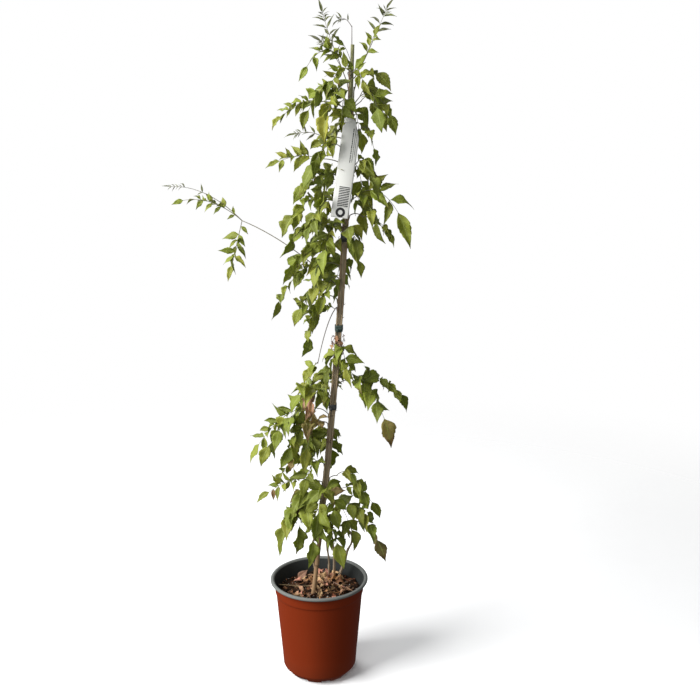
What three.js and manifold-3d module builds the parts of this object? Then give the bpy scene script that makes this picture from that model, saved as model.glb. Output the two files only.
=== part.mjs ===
// A rosea bower vine in a round plastic nursery pot, tied up a straight cane. Millimetres, +Z up.
// The pot stands on z = 0 with its axis on the z axis, and -Y is the side the plant shows to the viewer.
import * as THREE from 'three';
import { mergeVertices } from 'three/addons/utils/BufferGeometryUtils.js';
import Module from 'manifold-3d';

const wasm = await Module();
wasm.setup();

// Driving dimensions of the pot, the soil, the cane and the vine stems.
const POT_HEIGHT = 226;
const POT_LIP_RADIUS = 110;
const POT_WALL_TOP = 97.8;
const POT_FOOT = 83;
const POT_FOOT_HEIGHT = 23;
const POT_BASE = 66;
const POT_WALL = 1.8;
const POT_SIDES = 24;
const SOIL_LEVEL = 192;
const FIT_GAP = 0.4;
const CANE_RADIUS = 5.6;
const CANE_TOP = 1377;
const CANE_FOOT = 60;
const VINE_RADIUS = 2.1;
const BAND_RADIUS = CANE_RADIUS + 2 * VINE_RADIUS + 2 * FIT_GAP + 0.7;

// Driving dimensions of the leafy shoots: the ribs start inside the bundle, and a leaflet keeps
// clear of other leaflets, of other shoots' ribs and of the cane's axis.
const BUNDLE_RADIUS = 7.4;
const RIB_RADIUS = 1.25;
const RIB_SUNK = 2.5;
const BLADE_THICKNESS = 1.3;
const LEAF_CLEARANCE = 7;
const RIB_CLEARANCE = 5;
const CANE_CLEARANCE = 14.5;
const FIRST_SEED = 3;

// Width of a leaflet as a share of its length: grown, narrow and young ones.
const GROWN = 0.46;
const NARROW = 0.37;
const YOUNG = 0.27;

// The leafy shoots from the top down. Each one leaves the cane at a height, toward a compass direction
// (0 is right, 90 is away, 180 is left, 270 is toward the viewer), and has a reach, a rise and an arch.
// Its fronds follow: place along the shoot, compass, reach, rise, arch, pairs, leaflet length, width share.
const SHOOTS = [
  ['tip_left', 1300, 180, 26, 66, 0,
    [[1, 168, 26, 74, -3, 4, 30, YOUNG], [0.45, 160, 44, 54, 6, 3, 26, YOUNG]]],
  ['tip_centre', 1328, 90, 6, 86, 0,
    [[1, 180, 26, 14, 8, 4, 20, YOUNG], [0.1, 210, 18, 38, 4, 2, 30, NARROW]]],
  ['tip_right', 1316, 0, 36, 70, -4,
    [[1, 0, 26, 58, 0, 3, 32, YOUNG], [0.5, 330, 22, 46, 0, 2, 26, NARROW]]],
  ['crown_left', 1335, 186, 14, 14, 0,
    [[1, 184, 70, -12, 24, 5, 34, NARROW], [1, 225, 30, 6, 8, 3, 32, NARROW]]],
  ['crown_right', 1300, 350, 12, 12, 0,
    [[1, 358, 32, 12, 8, 1, 38, GROWN]]],
  ['crown_front', 1316, 268, 14, 4, 0,
    [[1, 205, 40, -14, 16, 4, 32, NARROW], [1, 325, 26, -12, 12, 2, 34, NARROW]]],
  ['upper_left', 1268, 198, 14, 10, 0,
    [[1, 184, 66, -26, 28, 4, 46, GROWN], [1, 235, 48, -36, 26, 3, 48, GROWN],
      [0.5, 262, 36, -54, 14, 2, 46, GROWN]]],
  ['upper_right', 1262, 344, 14, 16, 0,
    [[1, 318, 44, -22, 26, 3, 48, GROWN], [1, 2, 60, -34, 20, 4, 44, GROWN]]],
  ['outer_right', 1256, 18, 16, 12, 0,
    [[1, 30, 44, -16, 18, 2, 42, GROWN]]],
  ['reach_left', 1250, 168, 60, 16, 6,
    [[1, 178, 76, -28, 12, 4, 32, NARROW]]],
  ['young_left', 1190, 168, 50, 6, 4,
    [[1, 178, 56, 6, 6, 4, 24, YOUNG], [0.5, 225, 34, -26, 14, 3, 40, GROWN]]],
  ['inner_left', 1174, 196, 14, 4, 0,
    [[1, 203, 56, -34, 18, 3, 48, GROWN]]],
  ['mid_left', 1140, 176, 50, 12, 4,
    [[1, 183, 86, -4, 8, 4, 36, NARROW]]],
  ['pair_right', 1206, 0, 16, 4, 0,
    [[1, 0, 28, -34, 20, 1, 40, GROWN]]],
  ['tag_right', 1140, 344, 12, 4, 0,
    [[1, 325, 32, -22, 15, 3, 46, GROWN], [0.5, 60, 34, -54, 14, 3, 46, GROWN]]],
  ['broad_right', 1068, 352, 16, 10, 0,
    [[1, 353, 84, -30, 26, 2, 62, NARROW], [1, 335, 44, -50, 20, 2, 52, GROWN]]],
  ['below_tag', 1010, 272, 12, 2, 2,
    [[1, 318, 26, -20, 10, 2, 50, GROWN]]],
  ['drop_right', 1037, 5, 30, -4, 6,
    [[1, 10, 54, -30, 8, 2, 34, GROWN]]],
  ['tag_left', 1112, 186, 16, 4, 4,
    [[1, 205, 36, -24, 14, 3, 48, GROWN], [1, 176, 66, -18, 12, 3, 38, GROWN]]],
  ['left_a', 1062, 190, 16, 8, 4,
    [[1, 182, 86, -30, 20, 4, 46, GROWN], [1, 218, 62, -50, 20, 3, 48, GROWN]]],
  ['left_b', 1014, 186, 16, 6, 4,
    [[1, 180, 88, -30, 18, 4, 46, GROWN], [1, 245, 46, -50, 15, 3, 48, GROWN]]],
  ['left_c', 972, 190, 16, 6, 4,
    [[1, 190, 86, -42, 18, 4, 48, GROWN], [0.6, 225, 52, -44, 12, 3, 48, GROWN]]],
  ['left_d', 932, 184, 34, 2, 6,
    [[1, 184, 96, -76, 26, 4, 46, GROWN]]],
  ['left_e', 906, 198, 14, 2, 4,
    [[1, 198, 70, -62, 14, 3, 46, GROWN], [0.6, 232, 34, -34, 8, 2, 40, GROWN]]],
  ['strand', 862, 182, 40, 6, 6,
    [[1, 184, 26, -84, 12, 4, 40, GROWN]]],
  ['thread', 846, 190, 42, -122, 20,
    [[0.98, 200, 16, -14, 0, 1, 40, GROWN], [0.1, 200, 26, 6, 4, 1, 24, GROWN]]],
  ['long_arch', 888, 173, 206, 138, 14,
    [[1, 180, 122, 42, 16, 6, 26, NARROW], [1, 186, 24, -94, 0, 5, 34, NARROW],
      [0.99, 176, 150, 70, 20, 3, 20, YOUNG]]],
  ['bead_right', 978, 350, 14, 2, 2,
    [[1, 352, 12, -36, 6, 1, 34, GROWN]]],
  ['knot_leaves', 756, 280, 10, 2, 2,
    [[1, 310, 26, -34, 15, 2, 42, GROWN], [1, 225, 24, -38, 8, 1, 40, GROWN]]],
  ['low_right_a', 692, 350, 20, 6, 4,
    [[1, 342, 84, -88, 28, 4, 54, GROWN], [0.6, 320, 22, 6, 8, 1, 36, GROWN]]],
  ['low_right_b', 676, 10, 24, 8, 4,
    [[1, 14, 112, -36, 24, 4, 44, GROWN]]],
  ['low_left_a', 652, 190, 16, 8, 2,
    [[1, 184, 46, -2, 12, 1, 60, GROWN], [1, 233, 40, -12, 14, 3, 50, GROWN]]],
  ['low_left_b', 610, 186, 24, 14, 4,
    [[1, 194, 108, -76, 28, 4, 50, GROWN], [1, 172, 132, -84, 28, 5, 42, NARROW]]],
  ['low_left_c', 590, 198, 16, 6, 2,
    [[1, 200, 70, -48, 24, 3, 58, GROWN], [1, 232, 50, -48, 20, 3, 52, GROWN]]],
  ['foot_right_a', 466, 354, 18, 6, 2,
    [[1, 355, 54, -30, 22, 3, 42, GROWN]]],
  ['foot_right_b', 428, 5, 20, 6, 2,
    [[1, 5, 80, -28, 20, 4, 40, GROWN]]],
  ['foot_right_c', 402, 2, 26, 6, 4,
    [[1, 356, 88, -86, 28, 4, 50, GROWN], [0.7, 325, 44, -54, 14, 2, 44, GROWN]]],
  ['foot_left_a', 498, 180, 18, 6, 2,
    [[1, 178, 76, -26, 22, 4, 38, GROWN], [0.7, 230, 36, -26, 12, 2, 46, GROWN]]],
  ['foot_left_b', 456, 186, 20, 4, 2,
    [[1, 186, 98, -22, 14, 5, 36, NARROW]]],
  ['foot_left_c', 422, 195, 16, 4, 2,
    [[1, 192, 62, -62, 28, 3, 64, GROWN], [1, 222, 44, -58, 20, 1, 58, GROWN]]],
  ['foot_front', 440, 265, 14, 6, 2,
    [[1, 250, 34, -40, 15, 2, 52, GROWN], [1, 305, 36, -32, 16, 2, 50, GROWN]]],
  ['foot_lowest', 366, 270, 14, 10, 2,
    [[1, 240, 34, -36, 12, 1, 48, GROWN], [1, 320, 44, -38, 16, 3, 48, GROWN]]],
  ['back_top', 1236, 82, 14, 8, 2,
    [[1, 75, 64, -36, 20, 2, 46, GROWN], [1, 120, 60, -40, 20, 2, 46, GROWN]]],
  ['back_upper', 1076, 95, 14, 8, 2,
    [[1, 60, 70, -40, 20, 2, 50, GROWN], [1, 130, 74, -42, 20, 3, 48, GROWN]]],
  ['back_middle', 924, 84, 14, 8, 2,
    [[1, 105, 66, -50, 20, 2, 50, GROWN], [1, 150, 70, -50, 20, 3, 46, GROWN]]],
  ['back_low', 684, 95, 14, 8, 2,
    [[1, 105, 66, -50, 20, 2, 50, GROWN], [1, 150, 70, -50, 20, 2, 50, GROWN]]],
  ['back_foot', 550, 90, 14, 8, 2,
    [[1, 90, 60, -50, 20, 2, 50, GROWN], [1, 140, 66, -50, 20, 2, 52, GROWN]]],
];

const UP = new THREE.Vector3(0, 0, 1);
const SUNWARD = new THREE.Vector3(-0.15, -0.9, 0.55).normalize();

function vec(x, y, z) {
  return new THREE.Vector3(x, y, z);
}

// A seeded source of even draws between two numbers.
function draws(seed) {
  let state = (seed * 7919 + 12345) % 4294967296;
  const draw = (low, high) => {
    state = (state * 1664525 + 1013904223) % 4294967296;
    return low + ((high - low) * state) / 4294967296;
  };
  draw(0, 1);
  draw(0, 1);
  draw(0, 1);
  return draw;
}

function heading(compass) {
  const angle = THREE.MathUtils.degToRad(compass);
  return vec(Math.cos(angle), Math.sin(angle), 0);
}

// The cane leans to the right and a little back: its centre at a height.
function caneAt(z) {
  const s = (z - SOIL_LEVEL) / (CANE_TOP - SOIL_LEVEL);
  return vec(-13 + 88 * s + 56 * s * (1 - s), -15 + 20 * s, z);
}

// A closed mesh with merged points becomes a manifold solid, and back.
function solid(geometry) {
  const bare = geometry.clone();
  bare.deleteAttribute('normal');
  bare.deleteAttribute('uv');
  const merged = mergeVertices(bare, 1e-4);
  const mesh = new wasm.Mesh({
    numProp: 3,
    vertProperties: new Float32Array(merged.attributes.position.array),
    triVerts: new Uint32Array(merged.index.array),
  });
  mesh.merge();
  return new wasm.Manifold(mesh);
}

function geometryOf(manifold) {
  const pieces = manifold.decompose();
  const largest = pieces.reduce((best, piece) => (piece.volume() > best.volume() ? piece : best));
  const mesh = largest.getMesh();
  const geometry = new THREE.BufferGeometry();
  geometry.setAttribute('position', new THREE.BufferAttribute(new Float32Array(mesh.vertProperties), 3));
  geometry.setIndex(new THREE.BufferAttribute(new Uint32Array(mesh.triVerts), 1));
  return geometry;
}

function joined(geometries) {
  return geometries.map(solid).reduce((whole, piece) => whole.add(piece));
}

// A closed round bar along a curve.
function bar(curve, radius, sides, steps = curve.points.length - 1) {
  const section = new THREE.Shape();
  for (let side = 0; side < sides; side += 1) {
    const angle = (2 * Math.PI * side) / sides;
    section[side === 0 ? 'moveTo' : 'lineTo'](radius * Math.cos(angle), radius * Math.sin(angle));
  }
  section.closePath();
  return new THREE.ExtrudeGeometry(section, { steps, extrudePath: curve, bevelEnabled: false });
}

// A turned body: the profile is radius and height pairs that close on the axis or on themselves.
function turnedBody(profile, sides) {
  const points = profile.map(([radius, z]) => new THREE.Vector2(radius, z));
  const geometry = new THREE.LatheGeometry(points, sides);
  geometry.rotateX(Math.PI / 2);
  return geometry;
}

function named(name, geometry, colour, roughness) {
  const material = new THREE.MeshStandardMaterial({ color: colour, roughness, metalness: 0 });
  const mesh = new THREE.Mesh(geometry, material);
  mesh.name = name;
  return mesh;
}

// The pot: a tapered wall with a chamfered foot, a collar above a small ledge, and a rolled lip.
// Eight drainage notches are cut through the foot, which leaves feet between them.
function pot() {
  const lip = POT_LIP_RADIUS;
  const collar = lip - 8.5;
  const ledge = POT_HEIGHT - 32;
  const under = POT_HEIGHT - 7;
  const floor = 2.6;
  const shell = turnedBody([
    [0, 0],
    [POT_BASE, 0],
    [POT_FOOT, POT_FOOT_HEIGHT],
    [POT_WALL_TOP, ledge - 1],
    [collar - 2, ledge + 1],
    [collar, under],
    [lip - 2.5, under],
    [lip, under + 2.5],
    [lip - 3, POT_HEIGHT],
    [lip - 6.5, POT_HEIGHT],
    [lip - 8.4, POT_HEIGHT - 2],
    [collar - 2 * POT_WALL, under - 8],
    [POT_WALL_TOP - POT_WALL + 0.4, ledge + 1],
    [POT_WALL_TOP - POT_WALL, ledge - 3],
    [POT_FOOT - POT_WALL, POT_FOOT_HEIGHT + 1.5],
    [POT_BASE - 0.6, floor],
    [0, floor],
  ], POT_SIDES);
  let body = solid(shell);
  const notches = 8;
  const notchDepth = 26;
  const notchWidth = 22;
  const notchHeight = 9;
  for (let notch = 0; notch < notches; notch += 1) {
    const cutter = new THREE.BoxGeometry(notchDepth, notchWidth, notchHeight);
    cutter.translate(POT_BASE + 11, 0, 3);
    cutter.rotateZ((2 * Math.PI * (notch + 0.3)) / notches);
    body = body.subtract(solid(cutter));
  }
  return named('pot', geometryOf(body), 0x8a3a22, 0.55);
}

// The soil's surface: low bumps, higher at the back where litter has gathered round the stems.
function soilHeight(x, y) {
  const bumps = 2.4 * Math.sin(x / 9 + 1) * Math.cos(y / 11) + 1.6 * Math.sin(x / 4.7 - y / 6.1);
  const mound = 7 * Math.exp(-((x - 22) ** 2 + (y - 38) ** 2) / 1600);
  return SOIL_LEVEL + bumps + mound;
}

// Where the four woody stems run: out of the soil behind the cane, together under the lowest tie,
// then up beside the cane, each at its own bearing round it.
const VINES = [
  { name: 'vine_a', bearing: 130, top: 1240,
    loose: [[20, 52, -40], [20, 52, 0], [21, 38, 56], [15, 18, 116]] },
  { name: 'vine_b', bearing: 232, top: 1330,
    loose: [[-4, 36, -40], [-4, 36, 0], [-13, 20, 56], [-16, -9, 112]] },
  { name: 'vine_c', bearing: 308, top: 1260,
    loose: [[42, 54, -40], [42, 54, 0], [54, 42, 50], [65, 34, 86], [56, 22, 118], [32, 2, 150]] },
  { name: 'vine_d', bearing: 50, top: 1296,
    loose: [[32, 62, -40], [32, 62, 0], [33, 48, 60], [29, 26, 116]] },
];

// A route through given points, with straight stretches between them.
class Route extends THREE.Curve {
  constructor(points) {
    super();
    this.points = points;
  }

  getPoint(t) {
    const last = this.points.length - 1;
    const before = Math.min(Math.floor(t * last), last - 1);
    return this.points[before].clone().lerp(this.points[before + 1], t * last - before);
  }

  getPointAt(t) {
    return this.getPoint(t);
  }

  getTangentAt(t) {
    return this.getTangent(t);
  }
}

// The cane and the stems beside it bend at the same heights, so they stay side by side.
const TIED_FROM = 366;
const BENDS = [TIED_FROM, 500, 660, 820, 980, 1140, 1260];

function caneRoute() {
  return new Route([CANE_FOOT, SOIL_LEVEL, ...BENDS, CANE_TOP].map(caneAt));
}

function vineRoute({ bearing, top, loose }) {
  const offset = heading(bearing).multiplyScalar(CANE_RADIUS + VINE_RADIUS + FIT_GAP);
  const foot = loose.map(([x, y, rise]) => vec(x, y, SOIL_LEVEL + rise));
  const tied = [...BENDS.filter((z) => z < top), top].map((z) => caneAt(z).add(offset));
  const swing = new THREE.CatmullRomCurve3([...foot, tied[0]]);
  return new Route([...swing.getSpacedPoints(9), ...tied.slice(1)]);
}

// An arching rib: out by its reach, up by its rise, with its middle lifted.
function ribCurve(start, compass, reach, rise, arch) {
  const end = start.clone().addScaledVector(heading(compass), reach).addScaledVector(UP, rise);
  const middle = start.clone().lerp(end, 0.5).addScaledVector(UP, 2 * arch);
  return new THREE.QuadraticBezierCurve3(start, middle, end);
}

// The ribs of a leafy shoot: its stem, then one for each frond, rooted a little way inside the stem.
function ribsOf([, height, compass, reach, rise, arch, fronds]) {
  const start = caneAt(height).addScaledVector(heading(compass), BUNDLE_RADIUS);
  const stem = ribCurve(start, compass, reach, rise, arch);
  const furthest = 1 - RIB_SUNK / Math.hypot(reach, rise);
  const ribs = fronds.map(([along, toward, far, up, lift]) => (
    ribCurve(stem.getPoint(Math.min(along, furthest)), toward, far, up, lift)
  ));
  return [stem, ...ribs];
}

// A frond of narrow or young leaflets holds its face to the light. One of grown leaflets lies level.
function frondFace(share) {
  return share === GROWN ? UP : SUNWARD;
}

// The direction of a rib at a share of its parameter.
function slope(rib, t) {
  const first = rib.v1.clone().sub(rib.v0).multiplyScalar(1 - t);
  return rib.v2.clone().sub(rib.v1).multiplyScalar(t).add(first).normalize();
}

function turned(vector, axis, angle) {
  return vector.clone().applyAxisAngle(axis, angle);
}

// A leaflet leaves its rib sideways and forward, bends down under its own weight to a long drip tip,
// and turns its upper face to the light. Its midrib is root + 2u(1 - u) middle + u² tip.
class Leaflet {
  constructor(root, along, side, length, share, draw) {
    const hanging = share === GROWN;
    const face = frondFace(share);
    const across = along.clone().cross(face).add(vec(0, 1e-6, 0)).normalize().multiplyScalar(side);
    const spread = THREE.MathUtils.degToRad(draw(40, 65)) * Math.abs(side);
    const first = along.clone().multiplyScalar(Math.cos(spread))
      .addScaledVector(across, Math.sin(spread))
      .addScaledVector(UP, draw(-0.15, 0.25))
      .normalize();
    const droop = hanging ? draw(0.4, 0.9) : draw(0.1, 0.45);
    const last = first.clone().multiplyScalar(1 - droop).addScaledVector(UP, -droop).normalize();
    this.length = length * draw(0.82, 1.18);
    this.width = this.length * share * draw(0.9, 1.1);
    this.root = root;
    this.restMiddle = first.multiplyScalar(this.length * 0.5);
    this.restTip = this.restMiddle.clone().addScaledVector(last, this.length * 0.54);
    this.restFace = SUNWARD.clone().addScaledVector(across, hanging ? 0.4 : 0);
    this.restFace.x += draw(-1, 1) * (hanging ? 0.95 : 0.4);
    this.restFace.y += draw(-0.3, 0.3);
    this.restFace.z += draw(-0.5, 0.5);
    this.axis = along.clone().addScaledVector(face, 0.6).normalize();
    this.wave = draw(-0.05, 0.05);
    this.turn(0);
  }

  turn(angle) {
    this.middle = turned(this.restMiddle, this.axis, angle);
    this.tip = turned(this.restTip, this.axis, angle);
    const face = turned(this.restFace, this.axis, angle);
    const chord = this.tip.clone().normalize();
    this.normal = face.addScaledVector(chord, -face.dot(chord)).normalize();
    this.wide = chord.cross(this.normal);
  }

  shrink(factor) {
    this.length *= factor;
    this.width *= factor;
    this.restMiddle.multiplyScalar(factor);
    this.restTip.multiplyScalar(factor);
  }

  midrib(u) {
    return this.root.clone().addScaledVector(this.middle, 2 * u * (1 - u)).addScaledVector(this.tip, u * u);
  }

  // Places spread over the blade, which tell how near it comes to others.
  samples() {
    const places = [this.midrib(1)];
    for (const [u, share] of [[0.3, 1], [0.5, 0.85], [0.7, 0.45]]) {
      const centre = this.midrib(u);
      const half = (this.width * share) / 2;
      places.push(centre.clone().addScaledVector(this.wide, -half));
      places.push(centre);
      places.push(centre.clone().addScaledVector(this.wide, half));
    }
    return places;
  }

  // The blade's sections from the rib outward: left edge, upper face, right edge and keel.
  sections() {
    const stations = stationsFor(this.length);
    return stations.map(([u, share], station) => {
      const centre = this.midrib(u);
      const half = (this.width * share) / 2;
      const fold = this.width * share * 0.13;
      const wave = this.width * this.wave * (station % 2 === 0 ? 1 : -1);
      return [
        centre.clone().addScaledVector(this.wide, -half).addScaledVector(this.normal, fold + wave),
        centre.clone().addScaledVector(this.normal, BLADE_THICKNESS / 2),
        centre.clone().addScaledVector(this.wide, half).addScaledVector(this.normal, fold - wave),
        centre.clone().addScaledVector(this.normal, -BLADE_THICKNESS / 2),
      ];
    });
  }
}

// Sections of a blade as shares of its length and its width: ovate, with a long drip tip.
function stationsFor(length) {
  if (length > 56) {
    return [[0.28, 1], [0.55, 0.76], [0.82, 0.26]];
  }
  if (length > 30) {
    return [[0.3, 1], [0.66, 0.54]];
  }
  return [[0.36, 1]];
}

const TURNS = [0, 20, -20, 40, -40, 62, -62, 85];

// The tag: a strip of white plastic that hangs from a strap round the bundle and leans outward.
const TAG_WIDTH = 36;
const TAG_THICKNESS = 0.8;
const STRAP_RADIUS = BAND_RADIUS + 0.5;
const TAG_HOLD = caneAt(1229);
const TAG_TOP = TAG_HOLD.clone().add(vec(5, 1 - STRAP_RADIUS, 0));
const TAG_FOOT = vec(48, -39, 1035);

function tagFrame() {
  const up = TAG_TOP.clone().sub(TAG_FOOT);
  const length = up.length();
  up.normalize();
  const right = vec(1, 0, 0).addScaledVector(up, -up.x).normalize();
  const outward = right.clone().cross(up);
  return { up, right, outward, length };
}

// Places on the tag and in front of it, where no leaflet hangs.
function tagSamples() {
  const { up, right, outward, length } = tagFrame();
  const places = [];
  for (const ahead of [0, 12, 24, 36]) {
    for (let rise = 0; rise <= length; rise += 7) {
      for (let out = -TAG_WIDTH / 2; out <= TAG_WIDTH / 2; out += TAG_WIDTH / 4) {
        const place = TAG_FOOT.clone().addScaledVector(up, rise).addScaledVector(right, out);
        places.push(place.addScaledVector(outward, ahead));
      }
    }
  }
  return places;
}

function nearest(places, others) {
  let least = Infinity;
  for (const place of places) {
    for (const other of others) {
      least = Math.min(least, place.distanceToSquared(other));
    }
  }
  return Math.sqrt(least);
}

function fromCane(places) {
  const beside = places.filter((place) => place.z < CANE_TOP);
  return Math.min(Infinity, ...beside.map((place) => place.distanceTo(caneAt(place.z))));
}

// A leaflet turns about its rib, and at the worst is smaller, until it is clear of all that is there.
function settled(leaflet, taken, foreignRibs) {
  for (const factor of [1, 0.72]) {
    leaflet.shrink(factor);
    for (const degrees of TURNS) {
      leaflet.turn(THREE.MathUtils.degToRad(degrees));
      const places = leaflet.samples();
      const clear = nearest(places, taken) > LEAF_CLEARANCE
        && nearest(places, foreignRibs) > RIB_CLEARANCE
        && fromCane(places) > CANE_CLEARANCE;
      if (clear) {
        taken.push(...places);
        return true;
      }
    }
  }
  return false;
}

// A closed surface that is put together from rings of points.
class Surface {
  constructor() {
    this.points = [];
    this.faces = [];
  }

  ring(points) {
    return points.map((point) => this.points.push(point) - 1);
  }

  cap(ring) {
    for (let corner = 1; corner < ring.length - 1; corner += 1) {
      this.faces.push(ring[0], ring[corner], ring[corner + 1]);
    }
  }

  // A band between two rings of four. Its diagonals are alike on both faces of a blade.
  band(near, far) {
    near.forEach((corner, order) => {
      const next = near[(order + 1) % 4];
      const opposite = far[(order + 1) % 4];
      if (order % 2 === 0) {
        this.faces.push(corner, next, opposite, corner, opposite, far[order]);
      } else {
        this.faces.push(corner, next, far[order], next, opposite, far[order]);
      }
    });
  }

  // A leaflet grows out of four corners of the rib, turned so that its first band twists least.
  leaflet(corners, leaflet) {
    const sections = leaflet.sections();
    const twist = (shift) => corners.reduce((sum, corner, order) => (
      sum + this.points[corner].distanceToSquared(sections[0][(order + shift) % 4])
    ), 0);
    const best = [0, 1, 2, 3].reduce((least, shift) => (twist(shift) < twist(least) ? shift : least), 0);
    const turnedCorners = corners.map((corner, order) => corners[(order + 4 - best) % 4]);
    let near = turnedCorners;
    for (const section of sections) {
      const far = this.ring(section);
      this.band(near, far);
      near = far;
    }
    const tip = this.points.push(leaflet.midrib(1)) - 1;
    near.forEach((corner, order) => this.faces.push(corner, near[(order + 1) % 4], tip));
  }

  geometry() {
    const geometry = new THREE.BufferGeometry();
    const coordinates = this.points.flatMap((point) => point.toArray());
    geometry.setAttribute('position', new THREE.Float32BufferAttribute(coordinates, 3));
    geometry.setIndex(this.faces);
    return geometry;
  }
}

// A frond: a three-sided rib, whose leaflets grow out of its two lower sides and out of its end.
function frondGeometry(rib, face, pairs, endLeaflet) {
  const surface = new Surface();
  const ringAt = (t) => {
    const centre = rib.getPoint(t);
    const along = slope(rib, t);
    const across = along.clone().cross(face).add(vec(0, 1e-6, 0)).normalize();
    const top = across.clone().cross(along);
    return surface.ring([
      centre.clone().addScaledVector(across, 0.87 * RIB_RADIUS).addScaledVector(top, 0.5 * RIB_RADIUS),
      centre.clone().addScaledVector(across, -0.87 * RIB_RADIUS).addScaledVector(top, 0.5 * RIB_RADIUS),
      centre.clone().addScaledVector(top, -RIB_RADIUS),
    ]);
  };
  const side = (near, far, from, to, leaflet) => {
    const corners = [near[to], near[from], far[from], far[to]];
    if (leaflet) {
      surface.leaflet(corners, leaflet);
    } else {
      surface.cap(corners);
    }
  };
  const stretch = (near, far, right, left) => {
    side(near, far, 0, 1, null);
    side(near, far, 1, 2, left);
    side(near, far, 2, 0, right);
  };
  const half = 1.3 / rib.getLength();
  let near = ringAt(0);
  surface.cap(near);
  for (const { t, right, left } of pairs) {
    const before = ringAt(t - half);
    const after = ringAt(t + half);
    stretch(near, before, null, null);
    stretch(before, after, right, left);
    near = after;
  }
  const end = ringAt(1);
  stretch(near, end, null, null);
  if (endLeaflet) {
    const between = surface.points[end[0]].clone().lerp(surface.points[end[1]], 0.5);
    const [middle] = surface.ring([between.addScaledVector(slope(rib, 1), 0.6)]);
    surface.faces.push(end[1], end[0], middle);
    surface.leaflet([end[2], end[1], middle, end[0]], endLeaflet);
  } else {
    surface.cap([end[2], end[1], end[0]]);
  }
  return surface.geometry();
}

// Places along a rib that other shoots' leaflets keep clear of.
function beadsOn(rib) {
  const chord = rib.v0.distanceTo(rib.v2);
  return rib.getPoints(Math.ceil(chord / 6));
}

function leafyShoots() {
  const allRibs = SHOOTS.map(ribsOf);
  const taken = tagSamples();
  return SHOOTS.map((shoot, index) => {
    const draw = draws(index + FIRST_SEED);
    const ribs = allRibs[index];
    const foreignRibs = allRibs.flatMap((others, owner) => (
      owner === index ? [] : others.flatMap(beadsOn)
    ));
    const pieces = [bar(ribs[0], RIB_RADIUS, 3, 2)];
    shoot[6].forEach(([, , , , , pairCount, length, share], frond) => {
      const rib = ribs[frond + 1];
      const grow = (t, side, size) => {
        const leaflet = new Leaflet(rib.getPoint(t), slope(rib, t), side, size, share, draw);
        return settled(leaflet, taken, foreignRibs) ? leaflet : null;
      };
      const pairs = [];
      for (let pair = 0; pair < pairCount; pair += 1) {
        const t = pairCount > 1 ? 0.3 + (0.5 * pair) / (pairCount - 1) : 0.55;
        const size = length * (1.06 - 0.22 * t);
        pairs.push({ t, right: grow(t, 1, size), left: grow(t, -1, size) });
      }
      pieces.push(frondGeometry(rib, frondFace(share), pairs, grow(1, 0, length * 1.1)));
    });
    return named(`leaves_${shoot[0]}`, geometryOf(joined(pieces)), 0x7f9a33, 0.6);
  });
}

// A ring with straight sides, which is the band of a tie or the strap of the tag.
function ring(inside, outside, bottom, top) {
  const sides = 10;
  return turnedBody([
    [inside, bottom],
    [outside, bottom],
    [outside, top],
    [inside, top],
    [inside, bottom],
  ], sides);
}

// A tape tie round the cane and the stems. Its loose end hangs in front, a little to the left.
function tie(name, z, height, colour) {
  const tape = 1.2;
  const endWidth = 2.4;
  const endLength = 13;
  const lean = -0.5;
  const bearing = -1.9;
  const band = ring(BAND_RADIUS, BAND_RADIUS + tape, 0, height);
  const end = new THREE.BoxGeometry(tape, endWidth, endLength);
  end.rotateY(lean);
  end.translate(BAND_RADIUS + 2.5 * tape, 0, height / 2 - 5);
  end.rotateZ(bearing);
  const body = geometryOf(joined([band, end]));
  const centre = caneAt(z);
  body.translate(centre.x, centre.y, z - height / 2);
  return named(name, body, colour, 0.6);
}

// The tag's sheet narrows at its shoulders to a neck, which joins the strap.
function tag() {
  const { up, right, outward, length } = tagFrame();
  const half = TAG_WIDTH / 2;
  const neck = 5.5;
  const neckTop = length + 3;
  const outline = new THREE.Shape();
  outline.moveTo(-half, 0);
  outline.lineTo(half, 0);
  outline.lineTo(half, length - 36);
  outline.lineTo(neck, neckTop);
  outline.lineTo(-neck, neckTop);
  outline.lineTo(-half, length - 14);
  outline.closePath();
  const sheet = new THREE.ExtrudeGeometry(outline, { depth: TAG_THICKNESS, bevelEnabled: false });
  sheet.translate(0, 0, -TAG_THICKNESS / 2);
  sheet.applyMatrix4(new THREE.Matrix4().makeBasis(right, up, outward).setPosition(TAG_FOOT));
  const strap = ring(STRAP_RADIUS - 0.5, STRAP_RADIUS + 0.5, -5, 5);
  strap.translate(TAG_HOLD.x, TAG_HOLD.y, TAG_HOLD.z);
  return named('tag', geometryOf(joined([sheet, strap])), 0xe6e6e2, 0.5);
}

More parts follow.
